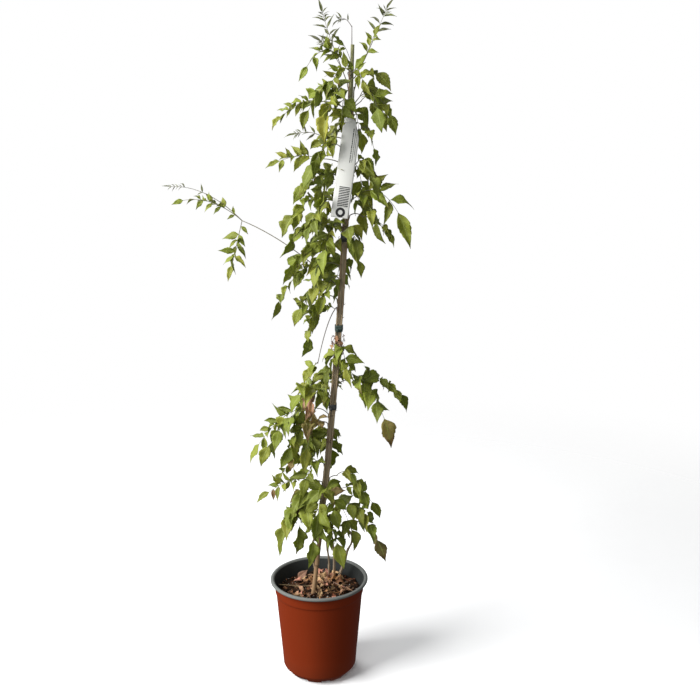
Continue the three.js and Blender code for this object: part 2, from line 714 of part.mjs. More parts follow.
// The soil: a turned plug with a bumpy top and bark chips on it, which stands a little clear of the
// pot's wall and floor, with a plain hole for the cane and for each stem.
function soil(routes) {
  const clear = POT_WALL + 2 * FIT_GAP;
  const floor = 3;
  const rim = POT_WALL_TOP - clear;
  const rings = [80, 62, 44, 24, 0];
  const plug = turnedBody([
    [0, floor],
    [POT_BASE - 2, floor],
    [POT_FOOT - clear, POT_FOOT_HEIGHT + 2.2],
    [rim, SOIL_LEVEL - 5],
    ...rings.map((radius) => [radius, SOIL_LEVEL]),
  ], POT_SIDES);
  const position = plug.attributes.position;
  for (let point = 0; point < position.count; point += 1) {
    if (position.getZ(point) > SOIL_LEVEL - 0.1) {
      position.setZ(point, soilHeight(position.getX(point), position.getY(point)));
    }
  }
  const draw = draws(77);
  const pieces = [plug];
  const chips = 9;
  for (let chip = 0; chip < chips; chip += 1) {
    const bearing = draw(0, 360);
    const radius = 78 * Math.sqrt(draw(0, 1));
    const place = heading(bearing).multiplyScalar(radius);
    const length = draw(10, 26);
    const width = draw(5, 10);
    const thickness = draw(1.6, 3);
    const bark = new THREE.BoxGeometry(length, width, thickness);
    bark.rotateX(draw(-0.5, 0.5));
    bark.rotateY(draw(-0.45, 0.45));
    bark.rotateZ(draw(0, Math.PI));
    bark.translate(place.x, place.y, soilHeight(place.x, place.y) + 1);
    pieces.push(bark);
  }
  let body = joined(pieces);
  for (const [route, radius] of routes) {
    body = body.subtract(solid(bar(route, radius + 2 * FIT_GAP, 8)));
  }
  return named('soil', geometryOf(body), 0x3a2a20, 0.95);
}

const plant = new THREE.Group();
plant.name = 'potted_rosea_bower_vine';
const vineRoutes = VINES.map(vineRoute);
const cane = caneRoute();
plant.add(pot());
plant.add(soil([[cane, CANE_RADIUS], ...vineRoutes.map((route) => [route, VINE_RADIUS])]));
plant.add(named('cane', bar(cane, CANE_RADIUS, 8), 0x8c6f4c, 0.8));
VINES.forEach(({ name }, index) => {
  plant.add(named(name, bar(vineRoutes[index], VINE_RADIUS, 4), 0x5d4a3c, 0.8));
});
plant.add(tie('tie_lowest', 384, 12, 0x1d2220));
plant.add(tie('tie_low', 628, 15, 0x1d2220));
plant.add(tie('tie_middle', 800, 16, 0x1f3a30));
plant.add(tie('tie_upper', 992, 18, 0x1d2220));
plant.add(tie('tie_top', 1162, 9, 0x1d2220));
plant.add(tag());
leafyShoots().forEach((shoot) => plant.add(shoot));

export default plant;
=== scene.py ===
import math

import bpy
import numpy as np
from mathutils import Euler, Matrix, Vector, noise


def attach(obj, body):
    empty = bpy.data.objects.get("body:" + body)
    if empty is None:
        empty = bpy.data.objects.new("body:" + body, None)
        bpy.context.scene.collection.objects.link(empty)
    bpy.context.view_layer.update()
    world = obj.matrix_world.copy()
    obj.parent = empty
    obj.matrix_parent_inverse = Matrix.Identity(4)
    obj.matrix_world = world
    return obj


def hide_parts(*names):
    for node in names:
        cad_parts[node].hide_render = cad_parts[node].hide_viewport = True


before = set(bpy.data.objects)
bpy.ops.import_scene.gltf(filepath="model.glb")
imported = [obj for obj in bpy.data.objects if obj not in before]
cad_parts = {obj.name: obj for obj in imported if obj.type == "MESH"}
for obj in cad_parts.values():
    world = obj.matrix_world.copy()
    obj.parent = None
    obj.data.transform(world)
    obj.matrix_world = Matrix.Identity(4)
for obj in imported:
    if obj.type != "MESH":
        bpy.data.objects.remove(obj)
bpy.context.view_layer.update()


# The pot is moulded from brick red plastic over a dark grey inner layer, which shows inside and on
# the rolled lip, paler there partly with wear and partly as a painted highlight. A small ledge runs
# under its collar, and drainage notches leave feet at its foot.
MM = 0.001
POT_SIDES = 192
LIP_RINGS = 11
NOTCHES = 8
NOTCH_TURN = 0.3
NOTCH_HALF_WIDTH = 0.16
NOTCH_HEIGHT = 7.3
NOTCH_INSIDE, NOTCH_OUTSIDE = 62.2, 72


class Stock:
    """Points and faces for one piece, in millimetres. Each point has a tone and a place."""

    def __init__(self):
        self.points = []
        self.faces = []
        self.smooth = []
        self.finish = []
        self.tones = []
        self.places = []
        self.count = 0

    def add(self, points, smooth=(), flat=(), finish=0, tone=1, age=0, place=(0, 0, 0)):
        points = np.asarray(points, float).reshape(-1, 3)
        for faces, is_smooth in [(smooth, True), (flat, False)]:
            for group in faces:
                group = np.asarray(group) + self.count
                self.faces.extend(group.tolist())
                self.smooth.extend([is_smooth] * len(group))
                self.finish.extend([finish] * len(group))
        self.points.append(points)
        tones = np.full((len(points), 4), float(age))
        tones[:, :3] = tone
        self.tones.append(tones)
        self.places.append(np.broadcast_to(place, (len(points), 3)))
        self.count += len(points)

    def piece(self, name, *finishes):
        mesh = bpy.data.meshes.new(name)
        mesh.from_pydata(np.concatenate(self.points) * MM, [], self.faces)
        for finish in finishes:
            mesh.materials.append(finish)
        mesh.polygons.foreach_set("material_index", self.finish)
        mesh.polygons.foreach_set("use_smooth", self.smooth)
        tone = mesh.attributes.new("tone", "FLOAT_COLOR", "POINT")
        tone.data.foreach_set("color", np.concatenate(self.tones).ravel())
        place = mesh.attributes.new("place", "FLOAT_VECTOR", "POINT")
        place.data.foreach_set("vector", np.concatenate(self.places).ravel())
        made = bpy.data.objects.new(name, mesh)
        bpy.context.scene.collection.objects.link(made)
        return made


def bands(grid, closed=True):
    """Four-cornered faces between the rows of a grid of point numbers."""
    after = np.roll(grid, -1, axis=1)
    faces = np.stack([grid[:-1], after[:-1], after[1:], grid[1:]], axis=-1)
    if not closed:
        faces = faces[:, :-1]
    return faces.reshape(-1, 4)


def turned(profile, sides):
    """A body turned on the upright axis, from radius and height pairs that start and end on it."""
    angles = np.arange(sides) * 2 * math.pi / sides
    radii = np.array([radius for radius, height in profile[1:-1]])[:, None]
    heights = np.array([height for radius, height in profile[1:-1]])[:, None]
    rings = np.stack([radii * np.cos(angles), radii * np.sin(angles), heights + 0 * angles], axis=-1)
    grid = np.arange(rings.shape[0] * sides).reshape(-1, sides)
    first, last = grid.size, grid.size + 1
    points = np.concatenate([rings.reshape(-1, 3), [[0, 0, profile[0][1]], [0, 0, profile[-1][1]]]])
    start = np.stack([np.full(sides, first), np.roll(grid[0], -1), grid[0]], axis=-1)
    end = np.stack([np.full(sides, last), grid[-1], np.roll(grid[-1], -1)], axis=-1)
    return points, bands(grid), start, end


class Signal:
    """A socket in a finish. Sums and products of signals add their own Math nodes."""

    def __init__(self, finish, output):
        self.finish = finish
        self.output = output

    def math(self, operation, first, second):
        return self.finish.node("Math", {"operation": operation}, {0: first, 1: second})

    def __add__(self, other):
        return self.math("ADD", self, other)

    __radd__ = __add__

    def __sub__(self, other):
        return self.math("SUBTRACT", self, other)

    def __rsub__(self, other):
        return self.math("SUBTRACT", other, self)

    def __mul__(self, other):
        return self.math("MULTIPLY", self, other)

    __rmul__ = __mul__

    def __truediv__(self, other):
        return self.math("DIVIDE", self, other)

    def __pow__(self, other):
        return self.math("POWER", self, other)

    def __gt__(self, other):
        return self.math("GREATER_THAN", self, other)

    def __lt__(self, other):
        return self.math("LESS_THAN", self, other)


class Finish:
    """A material that is put together from nodes."""

    def __init__(self, name):
        self.material = bpy.data.materials.new(name)
        self.material.use_nodes = True
        self.tree = self.material.node_tree
        self.tree.nodes.clear()

    def node(self, kind, settings=(), sockets=(), output=0):
        made = self.tree.nodes.new("ShaderNode" + kind)
        for name, value in dict(settings).items():
            setattr(made, name, value)
        for name, value in dict(sockets).items():
            socket = made.inputs[name]
            if isinstance(value, Signal):
                self.tree.links.new(value.output, socket)
            else:
                socket.default_value = value
        return Signal(self, made.outputs[output] if made.outputs else None)

    def where(self):
        return self.node("TexCoord", output="Object")

    def carried(self, name, output):
        """What the points of a piece carry: a tone with its age, or a place on the piece."""
        return self.node("Attribute", {"attribute_name": name}, output=output)

    def axis(self, vector, number):
        return self.node("SeparateXYZ", {}, {0: vector}, output=number)

    def grain(self, scale, detail=2.0, roughness=0.5):
        """Noise of one scale, or of one across the plant and another along its upright."""
        place = self.where()
        if isinstance(scale, tuple):
            across, along = scale
            place = self.node("Mapping", {}, {"Vector": place, "Scale": (across, across, along)})
            scale = 1.0
        sockets = {"Vector": place, "Scale": scale, "Detail": detail, "Roughness": roughness}
        return self.node("TexNoise", {}, sockets)

    def between(self, signal, low, high):
        """0 below low, 1 above high, and smooth between them."""
        settings = {"interpolation_type": "SMOOTHSTEP"}
        return self.node("MapRange", settings, {"Value": signal, 1: low, 2: high})

    def patches(self, low, high, *grain):
        """Soft-edged patches, where a grain is high."""
        return self.between(self.grain(*grain), low, high)

    def blend(self, share, first, second, way="MIX"):
        settings = {"data_type": "RGBA", "blend_type": way}
        sockets = {}
        for socket, value in [(0, share), (6, first), (7, second)]:
            is_colour = isinstance(value, tuple) and len(value) == 3
            sockets[socket] = (*value, 1) if is_colour else value
        return self.node("Mix", settings, sockets, output=2)

    def layered(self, ground, *layers):
        """A ground with colours laid over it, each with the share that it covers."""
        for share, colour in layers:
            ground = self.blend(share, ground, colour)
        return ground

    def raised(self, height, distance, strength):
        return self.node("Bump", {}, {"Height": height, "Distance": distance, "Strength": strength})

    def surface(self, colour, roughness, normal, specular):
        sockets = {"Base Color": colour, "Roughness": roughness, "Normal": normal}
        sockets["Specular IOR Level"] = specular
        return self.node("BsdfPrincipled", {}, sockets)

    def done(self, surface):
        self.node("OutputMaterial", {}, {"Surface": surface})
        return self.material

    def coat(self, colour, roughness, relief, distance, strength, specular):
        """The material of a piece that has one opaque skin."""
        normal = self.raised(relief, distance, strength)
        return self.done(self.surface(colour, roughness, normal, specular))


def pot_plastic(name, colour, worn, dust, roughness):
    """Moulded plastic with faint flow marks, fine grain, pale scuffs and dust in streaks."""
    finish = Finish(name)
    flow = finish.grain((14, 2.2), 3.0)
    scuffs = finish.patches(0.6, 0.78, (60, 260), 4.0, 0.7)
    specks = finish.patches(0.66, 0.74, 1100, 1.0)
    streaks = finish.patches(0.5, 0.8, (75, 5), 4.0, 0.6)
    low = 1 - finish.between(finish.axis(finish.where(), 2), 0.004, 0.075)
    film = streaks * 0.03 + low * finish.grain(60, 4.0) * 0.14
    marks = scuffs * 0.07 + specks * 0.05
    dusty = finish.layered(colour, (flow, worn), (marks, dust), (film, dust))
    relief = finish.grain(900) * 0.4 + flow * 0.6 + scuffs * 0.3
    return finish.coat(dusty, roughness + film * 0.4 + scuffs * 0.12, relief, 0.0004, 0.35, 0.04)


pot_red = pot_plastic("pot_red", (0.16, 0.0215, 0.005), (0.125, 0.015, 0.0035), (0.2, 0.075, 0.04), 0.6)
# The lip is the inner grey made paler, partly for wear and partly as a painted highlight on the lit lip.
lip_grey_wear_and_painted_highlight = pot_plastic("lip_grey_wear_and_painted_highlight", (0.15, 0.155, 0.145), (0.1, 0.105, 0.1), (0.26, 0.25, 0.22), 0.5)
inner_grey = pot_plastic("inner_grey", (0.034, 0.037, 0.036), (0.022, 0.024, 0.023), (0.12, 0.11, 0.09), 0.5)

outer_profile = [
    (0, 0), (40, 0), (61.5, 0), (62.6, 0), (66, 0.3), (67.4, 1.3), (73.2, 7.7), (81.8, 17.6),
    (83, 20.6), (85.2, 50), (89.2, 95), (93.2, 140), (97, 186), (97.6, 191.5), (98.0, 193),
    (98.9, 193.9), (99.5, 195), (99.7, 196.6), (100.4, 206), (101.3, 217), (101.9, 218.7),
]
inner_profile = [
    (103.5, 218.9), (106.4, 218.9), (108.5, 219.6), (109.7, 221.1), (110, 222.8), (109.3, 224.6),
    (107.7, 225.7), (105.6, 226), (103.7, 225.6), (102.2, 224.3), (101.1, 222.2), (99.8, 217.5),
    (98.2, 211), (97.2, 203), (96.5, 196), (95.8, 190), (93, 158), (87, 92), (81.4, 25),
    (80.6, 23.6), (65.6, 3), (62, 2.8), (40, 2.7), (0, 2.6),
]
points, walls, under, floor_inside = turned(outer_profile + inner_profile, POT_SIDES)
angles = np.arctan2(points[:, 1], points[:, 0])
radii = np.hypot(points[:, 0], points[:, 1])
step = 2 * math.pi / NOTCHES
from_notch = np.abs((angles - NOTCH_TURN * step + step / 2) % step - step / 2)
at_foot = (radii > NOTCH_INSIDE) & (radii < NOTCH_OUTSIDE) & (points[:, 2] < NOTCH_HEIGHT + 0.5)
cut = at_foot & (from_notch < NOTCH_HALF_WIDTH)
points[cut, 2] = np.maximum(points[cut, 2], NOTCH_HEIGHT)
stock = Stock()
stock.add(points, smooth=[under, walls, floor_inside])
# The faces run from the foot up the outside, over the lip and down inside.
lip_from = (len(outer_profile) - 1) * POT_SIDES
inside_from = lip_from + LIP_RINGS * POT_SIDES
stock.finish[lip_from:inside_from] = [1] * (inside_from - lip_from)
stock.finish[inside_from:] = [2] * (len(stock.finish) - inside_from)
pot = stock.piece("nursery_pot", pot_red, lip_grey_wear_and_painted_highlight, inner_grey)
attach(pot, "root")
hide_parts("pot")


# The potting mix fills the pot to a little under the ledge: dark peat and bark fines with a crumbly
# top, low bumps, and a mound at the back where litter has gathered round the stems.
SOIL_LEVEL = 192
SOIL_RIM = 190.2
SOIL_RADIUS = 95.2
SOIL_SIDES = 160


def soil_height(x, y):
    bumps = 2.4 * math.sin(x / 9 + 1) * math.cos(y / 11) + 1.6 * math.sin(x / 4.7 - y / 6.1)
    mound = 7 * math.exp(-((x - 22) ** 2 + (y - 38) ** 2) / 1600)
    return SOIL_LEVEL + bumps + mound


def soil_mix():
    finish = Finish("soil_mix")
    crumbs = finish.node("TexVoronoi", {}, {"Vector": finish.where(), "Scale": 420})
    clods = finish.grain(90, 5.0, 0.65)
    fibres = finish.patches(0.56, 0.72, 330, 3.0, 0.7)
    dark, brown, fibre_brown = (0.004, 0.002, 0.001), (0.036, 0.019, 0.01), (0.15, 0.07, 0.033)
    mixed = finish.layered(dark, (clods, brown), (fibres * 0.5, fibre_brown))
    relief = crumbs * 0.5 + clods + fibres * 0.4
    return finish.coat(mixed, 0.82 + clods * 0.15, relief, 0.003, 1.0, 0.08)


profile = [(0, 3.4), (30, 3.4), (58, 3.4), (74, 18), (80.6, 26), (92, 158), (94.6, 184)]
profile += [(SOIL_RADIUS, 189)]
profile += [(radius, SOIL_LEVEL) for radius in [*np.linspace(SOIL_RADIUS, 1.4722, 66), 0]]
points, walls, under, crown = turned(profile, SOIL_SIDES)
for point in points:
    if point[2] == SOIL_LEVEL:
        x, y = point[:2]
        place = Vector((x, y, 0))
        fine = noise.noise(place * 0.31) * 1.3 + noise.noise(place * 0.9) * 0.8
        edge = max(0.0, math.hypot(x, y) - 88) / 8
        point[2] = (soil_height(x, y) + fine) * (1 - edge) + SOIL_RIM * edge
stock = Stock()
stock.add(points, smooth=[walls, under, crown])
soil = stock.piece("potting_mix", soil_mix())
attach(soil, "root")
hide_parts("soil")


# Loose bark chips and white grit lie on the mix, pressed a little way into it. Each chip is a
# brown flake with a broken outline, and the grit is expanded stone.
def bark_finish():
    finish = Finish("bark_chips")
    tone = finish.carried("tone", "Color")
    lines = finish.grain((500, 1500), 4.0, 0.7)
    pits = finish.patches(0.35, 0.6, 700, 3.0)
    worn = finish.blend(0.75 * lines + 0.1, (0.0, 0.0, 0.0), tone)
    colour = finish.blend(pits * 0.35, worn, tone)
    return finish.coat(colour, 0.65 + lines * 0.25, lines + pits * 0.5, 0.0008, 1.0, 0.12)


def turn_matrix(yaw, pitch, roll):
    return np.array(Euler((roll, pitch, yaw)).to_matrix())


def strewn(rng, furthest):
    """A place on the mix, anywhere within a distance of its middle."""
    radius = furthest * math.sqrt(rng.uniform())
    bearing = rng.uniform(0, 2 * math.pi)
    return radius * math.cos(bearing), radius * math.sin(bearing)


def flake(stock, rng, tones, length, width, thick, centre, spin):
    """A closed flake with a broken outline, in one of the tones."""
    corners = 8
    turns = np.arange(corners) * 2 * math.pi / corners
    uneven = rng.uniform(0.68, 1.1, corners)
    outline = np.column_stack([length / 2 * uneven * np.cos(turns), width / 2 * uneven * np.sin(turns)])
    bow = rng.uniform(-0.12, 0.12) * length
    lift = bow * (outline[:, 0] / length * 2) ** 2
    top = np.column_stack([outline * 0.86, lift + thick / 2 * rng.uniform(0.5, 1.2, corners)])
    bottom = np.column_stack([outline, lift - thick / 2])
    points = np.concatenate([top, bottom]) @ spin.T + centre
    grid = np.stack([np.arange(corners) + corners, np.arange(corners)])
    faces = [bands(grid), [grid[1].tolist()], [grid[0][::-1].tolist()]]
    tone = tones[rng.integers(len(tones))] * rng.uniform(0.6, 1.3)
    stock.add(points, flat=faces, tone=tone)


CHIP_TONES = np.array([
    [0.12, 0.046, 0.02], [0.045, 0.02, 0.01], [0.22, 0.09, 0.038], [0.3, 0.14, 0.065],
    [0.17, 0.055, 0.025], [0.06, 0.03, 0.017], [0.38, 0.22, 0.13],
])
GRIT_TONES = np.array([[0.62, 0.6, 0.56], [0.5, 0.48, 0.44]])
CHIPS = 620
GRIT = 90
bark_skin = bark_finish()
rng = np.random.default_rng(11)
stock = Stock()
for chip in range(CHIPS):
    x, y = strewn(rng, 91)
    size = rng.uniform(2.5, 8) if chip % 5 else rng.uniform(9, 19)
    spin = turn_matrix(rng.uniform(0, 6.3), rng.normal(0, 0.28), rng.normal(0, 0.28))
    centre = np.array([x, y, soil_height(x, y) + rng.uniform(0.4, 2.2)])
    width, thick = size * rng.uniform(0.25, 0.6), rng.uniform(0.7, 2.2)
    flake(stock, rng, CHIP_TONES, size, width, thick, centre, spin)
bark_litter = stock.piece("bark_litter", bark_skin)
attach(bark_litter, "root")

stock = Stock()
for grain in range(GRIT):
    x, y = strewn(rng, 88)
    size = rng.uniform(1.2, 3.2)
    spin = turn_matrix(rng.uniform(0, 6.3), rng.uniform(0, 6.3), 0)
    centre = np.array([x, y, soil_height(x, y) + 1.7])
    flake(stock, rng, GRIT_TONES, size, size * 0.8, size * 0.7, centre, spin)
grit = stock.piece("white_grit", bark_skin)
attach(grit, "root")


# Leaflets that have withered and dropped lie curled on the mix, thickest behind the cane. A straw
# leans in from the left rim, a forked twig lies on the right, and old leaf stalks lie all about.
STATIONS = np.array([0, 0.04, 0.08, 0.14, 0.22, 0.32, 0.42, 0.52, 0.62, 0.72, 0.8, 0.88, 0.94, 1])
WIDTHS = np.array([0.03, 0.035, 0.2, 0.52, 0.82, 0.98, 1.0, 0.92, 0.75, 0.53, 0.34, 0.18, 0.09, 0.02])


def shell(front, back):
    """A closed thin body between a front and a back grid of points, seen with the rows going up."""
    rows, lanes = front.shape[:2]
    near = np.arange(rows * lanes).reshape(rows, lanes)
    far = near + rows * lanes
    points = np.concatenate([front.reshape(-1, 3), back.reshape(-1, 3)])

    def border(grid):
        return np.concatenate([grid[0, :-1], grid[:-1, -1], grid[-1, :0:-1], grid[:0:-1, 0]])

    rim = np.stack([border(near), border(far)])
    edge = np.stack([rim[0], rim[1], np.roll(rim[1], -1), np.roll(rim[0], -1)], axis=-1)
    return points, [bands(near, False), bands(far, False)[:, ::-1]], [edge]


def blade(stock, leaflet, rng, tone, age, curl=1.0):
    """A leaflet's blade: ovate with a drip tip, folded, puckered between its veins, wavy, toothed."""
    length, width = leaflet["length"], leaflet["width"]
    rows, lanes = (24, 7) if length > 40 else (18, 7) if length > 24 else (12, 5)
    u = np.linspace(0, 1, rows)[:, None]
    v = np.linspace(-1, 1, lanes)[None, :]
    out = np.abs(v)
    share = np.interp(u[:, 0] ** rng.uniform(0.85, 1.15), STATIONS, WIDTHS)[:, None]
    fold = rng.uniform(0.04, 0.5)
    teeth = 0.2 if length > 34 else 0.05
    notch = ((u * rng.uniform(5.5, 7.5) + rng.uniform()) % 1.0) - 0.5
    notch_on = np.clip((u - 0.25) * 6, 0, 1) * np.clip((0.86 - u) * 6, 0, 1)
    half = width * 0.58 * share * (1 - 0.35 * fold) * (1 + teeth * notch * notch_on * out**3)
    half = half * (1 + 0.08 * rng.uniform(-1, 1) * np.sign(v))
    midrib = leaflet["root"] + (2 * u * (1 - u)) * leaflet["middle"] + u**2 * leaflet["tip"]
    veins = np.cos(2 * math.pi * (u * 6.0 - out * 0.8))
    wave = np.sin(2 * math.pi * (u * rng.uniform(1.2, 2.6) + rng.uniform()))
    other_wave = np.sin(2 * math.pi * (u * rng.uniform(1.2, 2.6) + rng.uniform()))
    ripple = rng.uniform(0.06, 0.2) * out**2 * np.where(v > 0, wave, other_wave)
    pucker = (-0.032 if rows == 24 else -0.004) * veins * out * (1.15 - out)
    lift = width * share * (fold * out**1.2 + ripple * curl + pucker)
    hook = rng.uniform(-0.05, 0.2) * length * np.clip(u - 0.6, 0, 1) ** 2 * 4 * curl
    twist = rng.uniform(-0.9, 0.9) * u**1.5 * curl
    sweep = rng.uniform(-0.07, 0.07) * length * u**2
    across = half * v
    sideways = across * np.cos(twist) + sweep
    lift = lift - hook + across * np.sin(twist)
    surface = midrib[:, None, :] + sideways[..., None] * leaflet["wide"]
    surface = surface + lift[..., None] * leaflet["normal"]
    thick = 0.3 - 0.12 * out + 0.25 * np.exp(-((v / 0.12) ** 2)) * (1 - u)
    thick = thick[..., None] * leaflet["normal"]
    points, smooth, flat = shell(surface + thick, surface - thick)
    spots = np.stack(np.broadcast_arrays(u, v, 0 * u + 0 * v), axis=-1).reshape(-1, 3)
    places = np.concatenate([spots, spots + np.array([0, 0, 1])])
    stock.add(points, smooth, flat, tone=tone, age=age, place=places)


def tube(stock, path, radii, sides, tone, finish=0):
    """A closed round bar along a path, with a radius and a tone at each point."""
    path = np.asarray(path, float)
    ahead = np.gradient(path, axis=0)
    ahead /= np.linalg.norm(ahead, axis=1)[:, None]
    side = np.cross(ahead[0], [0, 0, 1]) + np.array([1e-6, 0, 0])
    sideways = []
    for direction in ahead:
        side = side - direction * (side @ direction)
        side = side / np.linalg.norm(side)
        sideways.append(side)
    sideways = np.array(sideways)[:, None, :]
    upward = np.cross(ahead[:, None, :], sideways)
    turns = (np.arange(sides) * 2 * math.pi / sides)[None, :, None]
    radii = np.broadcast_to(radii, len(path))[:, None, None]
    rings = path[:, None, :] + radii * (np.cos(turns) * sideways + np.sin(turns) * upward)
    grid = np.arange(len(path) * sides).reshape(-1, sides)
    ends = [[grid[0][::-1].tolist()], [grid[-1].tolist()]]
    stock.add(rings.reshape(-1, 3), [bands(grid)], ends, finish=finish, tone=tone)


def leaf_finish(name, glow, roughness, vein_tint, back_tint):
    """A leaf skin: paler veins, mottling, browning from the tip and the edge, and a paler back."""
    finish = Finish(name)
    tone = finish.carried("tone", "Color")
    age = finish.carried("tone", "Alpha")
    place = finish.carried("place", "Vector")
    along, across, back = [finish.axis(place, number) for number in (0, 1, 2)]
    out = finish.node("Math", {"operation": "ABSOLUTE"}, {0: across})
    vein_place = along * 6 - out * 0.8 + finish.grain(70) * 0.5
    side_veins = finish.node("Math", {"operation": "PINGPONG"}, {0: vein_place, 1: 0.5})
    side_lines = (1 - finish.between(side_veins, 0.02, 0.12)) * (1 - out * 0.6)
    midrib = 1 - finish.between(out, 0.03, 0.13)
    cells = {"Vector": finish.where(), "Scale": 520}
    cell_walls = finish.node("TexVoronoi", {"feature": "DISTANCE_TO_EDGE"}, cells)
    net = 1 - finish.between(cell_walls, 0.0, 0.12)
    mottle = finish.grain(55, 4.0, 0.6)
    blotch = finish.patches(0.5, 0.75, 150, 3.0, 0.6)
    tip = finish.between(along + out * 0.22 + mottle * 0.3, 1.2 - 0.5 * age, 1.36 - 0.4 * age)
    colour = finish.layered(
        finish.blend(mottle * 0.7, tone, (0.5, 0.55, 0.4), "MULTIPLY"),
        (midrib * 0.5 + side_lines * 0.26 + net * 0.07, vein_tint),
        (blotch * age * 0.5, (0.19, 0.115, 0.035)),
        (finish.between(along, 0.84, 1.0) * 0.45, (0.06, 0.055, 0.015)),
        (tip * (0.3 + age * 0.6), (0.16, 0.085, 0.035)),
        (back * 0.35, back_tint),
    )
    relief = side_lines * 0.6 + midrib + net * 0.2 + mottle * 0.5
    rough = roughness + back * 0.12 + mottle * 0.14
    normal = finish.raised(relief, 0.0006, 0.55)
    skin = finish.surface(colour, rough, normal, 0.3)
    through = finish.blend(1.0, colour, (1.0, 1.0, 0.42), "MULTIPLY")
    light = finish.node("BsdfTranslucent", {}, {"Color": through, "Normal": normal})
    return finish.done(finish.node("MixShader", {}, {0: glow, 1: skin, 2: light}))


def unit(vector):
    vector = np.asarray(vector, float)
    return vector / np.linalg.norm(vector)


def loose_leaflet(root, ahead, face, length, bow):
    """A dry leaflet that points ahead from its root and bows toward its face."""
    return {
        "root": root, "middle": ahead * length * 0.5 + face * bow, "tip": ahead * length,
        "wide": np.cross(ahead, face), "normal": face, "length": length, "width": length * 0.5,
    }


def lying_leaflet(x, y, length, bearing, slope, roll, rise):
    """A dry leaflet on the mix, with its root a little above it."""
    spin = turn_matrix(bearing, -slope, roll)
    root = np.array([x, y, soil_height(x, y) + rise])
    return loose_leaflet(root, spin[:, 0], spin[:, 2], length, length * 0.12)


WITHERED = np.array([
    [0.42, 0.19, 0.075], [0.5, 0.27, 0.17], [0.24, 0.09, 0.035], [0.58, 0.37, 0.2],
    [0.52, 0.22, 0.16], [0.13, 0.055, 0.025],
])
FALLEN = 74
withered_skin = leaf_finish("withered_leaf", 0.12, 0.6, (0.5, 0.3, 0.17), (0.42, 0.24, 0.14))
rng = np.random.default_rng(23)
stock = Stock()
for fallen in range(FALLEN):
    if fallen % 3:
        x, y = rng.normal(12, 26), rng.normal(34, 24)
    else:
        x, y = rng.uniform(-72, 72), rng.uniform(-72, 60)
    if math.hypot(x, y) > 74:
        x, y = x * 0.7, y * 0.7
    size, bearing = rng.uniform(14, 30), rng.uniform(0, 6.3)
    slope, roll, rise = rng.normal(0.12, 0.25), rng.normal(0, 0.5), rng.uniform(1.5, 5)
    leaflet = lying_leaflet(x, y, size, bearing, slope, roll, rise)
    if np.hypot(*(leaflet["root"] + leaflet["tip"])[:2]) < 90:
        tone = WITHERED[rng.integers(6)] * rng.uniform(0.7, 1.25)
        blade(stock, leaflet, rng, tone, 0.2, curl=2.2)
standing_leaflet = lying_leaflet(-52, 52, 33, 0.15, 0.75, 1.2, 2)
blade(stock, standing_leaflet, rng, np.array([0.28, 0.15, 0.11]), 0.2)
fallen_leaves = stock.piece("fallen_leaflets", withered_skin)
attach(fallen_leaves, "root")


def smooth_path(points, steps):
    """A smooth path through given points, with a number of steps between each two."""
    points = np.asarray(points, float)
    padded = np.concatenate([[2 * points[0] - points[1]], points, [2 * points[-1] - points[-2]]])
    path = []
    for before, start, end, after in zip(padded, padded[1:], padded[2:], padded[3:]):
        for t in np.arange(steps) / steps:
            straight = 2 * start + (end - before) * t
            curved = (2 * before - 5 * start + 4 * end - after) * t**2
            path.append((straight + curved + (3 * start - before - 3 * end + after) * t**3) / 2)
    return np.array([*path, points[-1]])


def lying(x, y, rise):
    return (x, y, soil_height(x, y) + rise)


STRAW_TONE = (0.5, 0.36, 0.2)
TWIG_TONE = (0.42, 0.27, 0.2)
STALKS = 34
stock = Stock()
straw = [(-93, 6, 203), (-72, 10, 199.5), lying(-50, 12, 3.4), lying(-30, 14, 3.8), lying(-14, 13, 2.4)]
tube(stock, smooth_path(straw, 6), np.linspace(1.0, 0.6, 25), 6, STRAW_TONE)
twig = [lying(28, 22, 3), lying(44, 10, 4.2), lying(60, -2, 3.6), lying(78, -10, 3.4)]
tube(stock, smooth_path(twig, 6), np.linspace(1.5, 0.9, 19), 7, TWIG_TONE)
side_twig = [lying(50, 5, 4), lying(58, 12, 5), lying(68, 14, 4)]
tube(stock, smooth_path(side_twig, 5), np.linspace(0.9, 0.5, 11), 6, TWIG_TONE)
for stalk in range(STALKS):
    x, y = rng.uniform(-66, 66), rng.uniform(-66, 62)
    turn, length = rng.uniform(0, 6.3), rng.uniform(14, 34)
    path = [
        lying(x + math.cos(turn) * reach, y + math.sin(turn) * reach, 2.4 + rng.uniform(-0.5, 1.4))
        for reach in (-length / 2, 0, length / 2)
    ]
    if all(math.hypot(*point[:2]) < 86 for point in path):
        tone = WITHERED[rng.integers(6)] * 0.9
        tube(stock, smooth_path(path, 4), rng.uniform(0.35, 0.7), 5, tone)
straws = stock.piece("straw_and_twigs", bark_skin)
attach(straws, "root")


# The cane is a straight stake of brown bamboo, pushed deep into the mix. It leans a little to the
# right, with a raised ring at each joint, long grain, dark weathering and a flat cut top.
CANE_RADIUS = 5.6
CANE_TOP = 1377
CANE_SIDES = 28
CANE_JOINTS = [262, 428, 610, 806, 1004, 1196, 1330]


def cane_at(z):
    s = (z - SOIL_LEVEL) / (CANE_TOP - SOIL_LEVEL)
    return np.array([-13 + 88 * s + 56 * s * (1 - s), -15 + 20 * s, z])


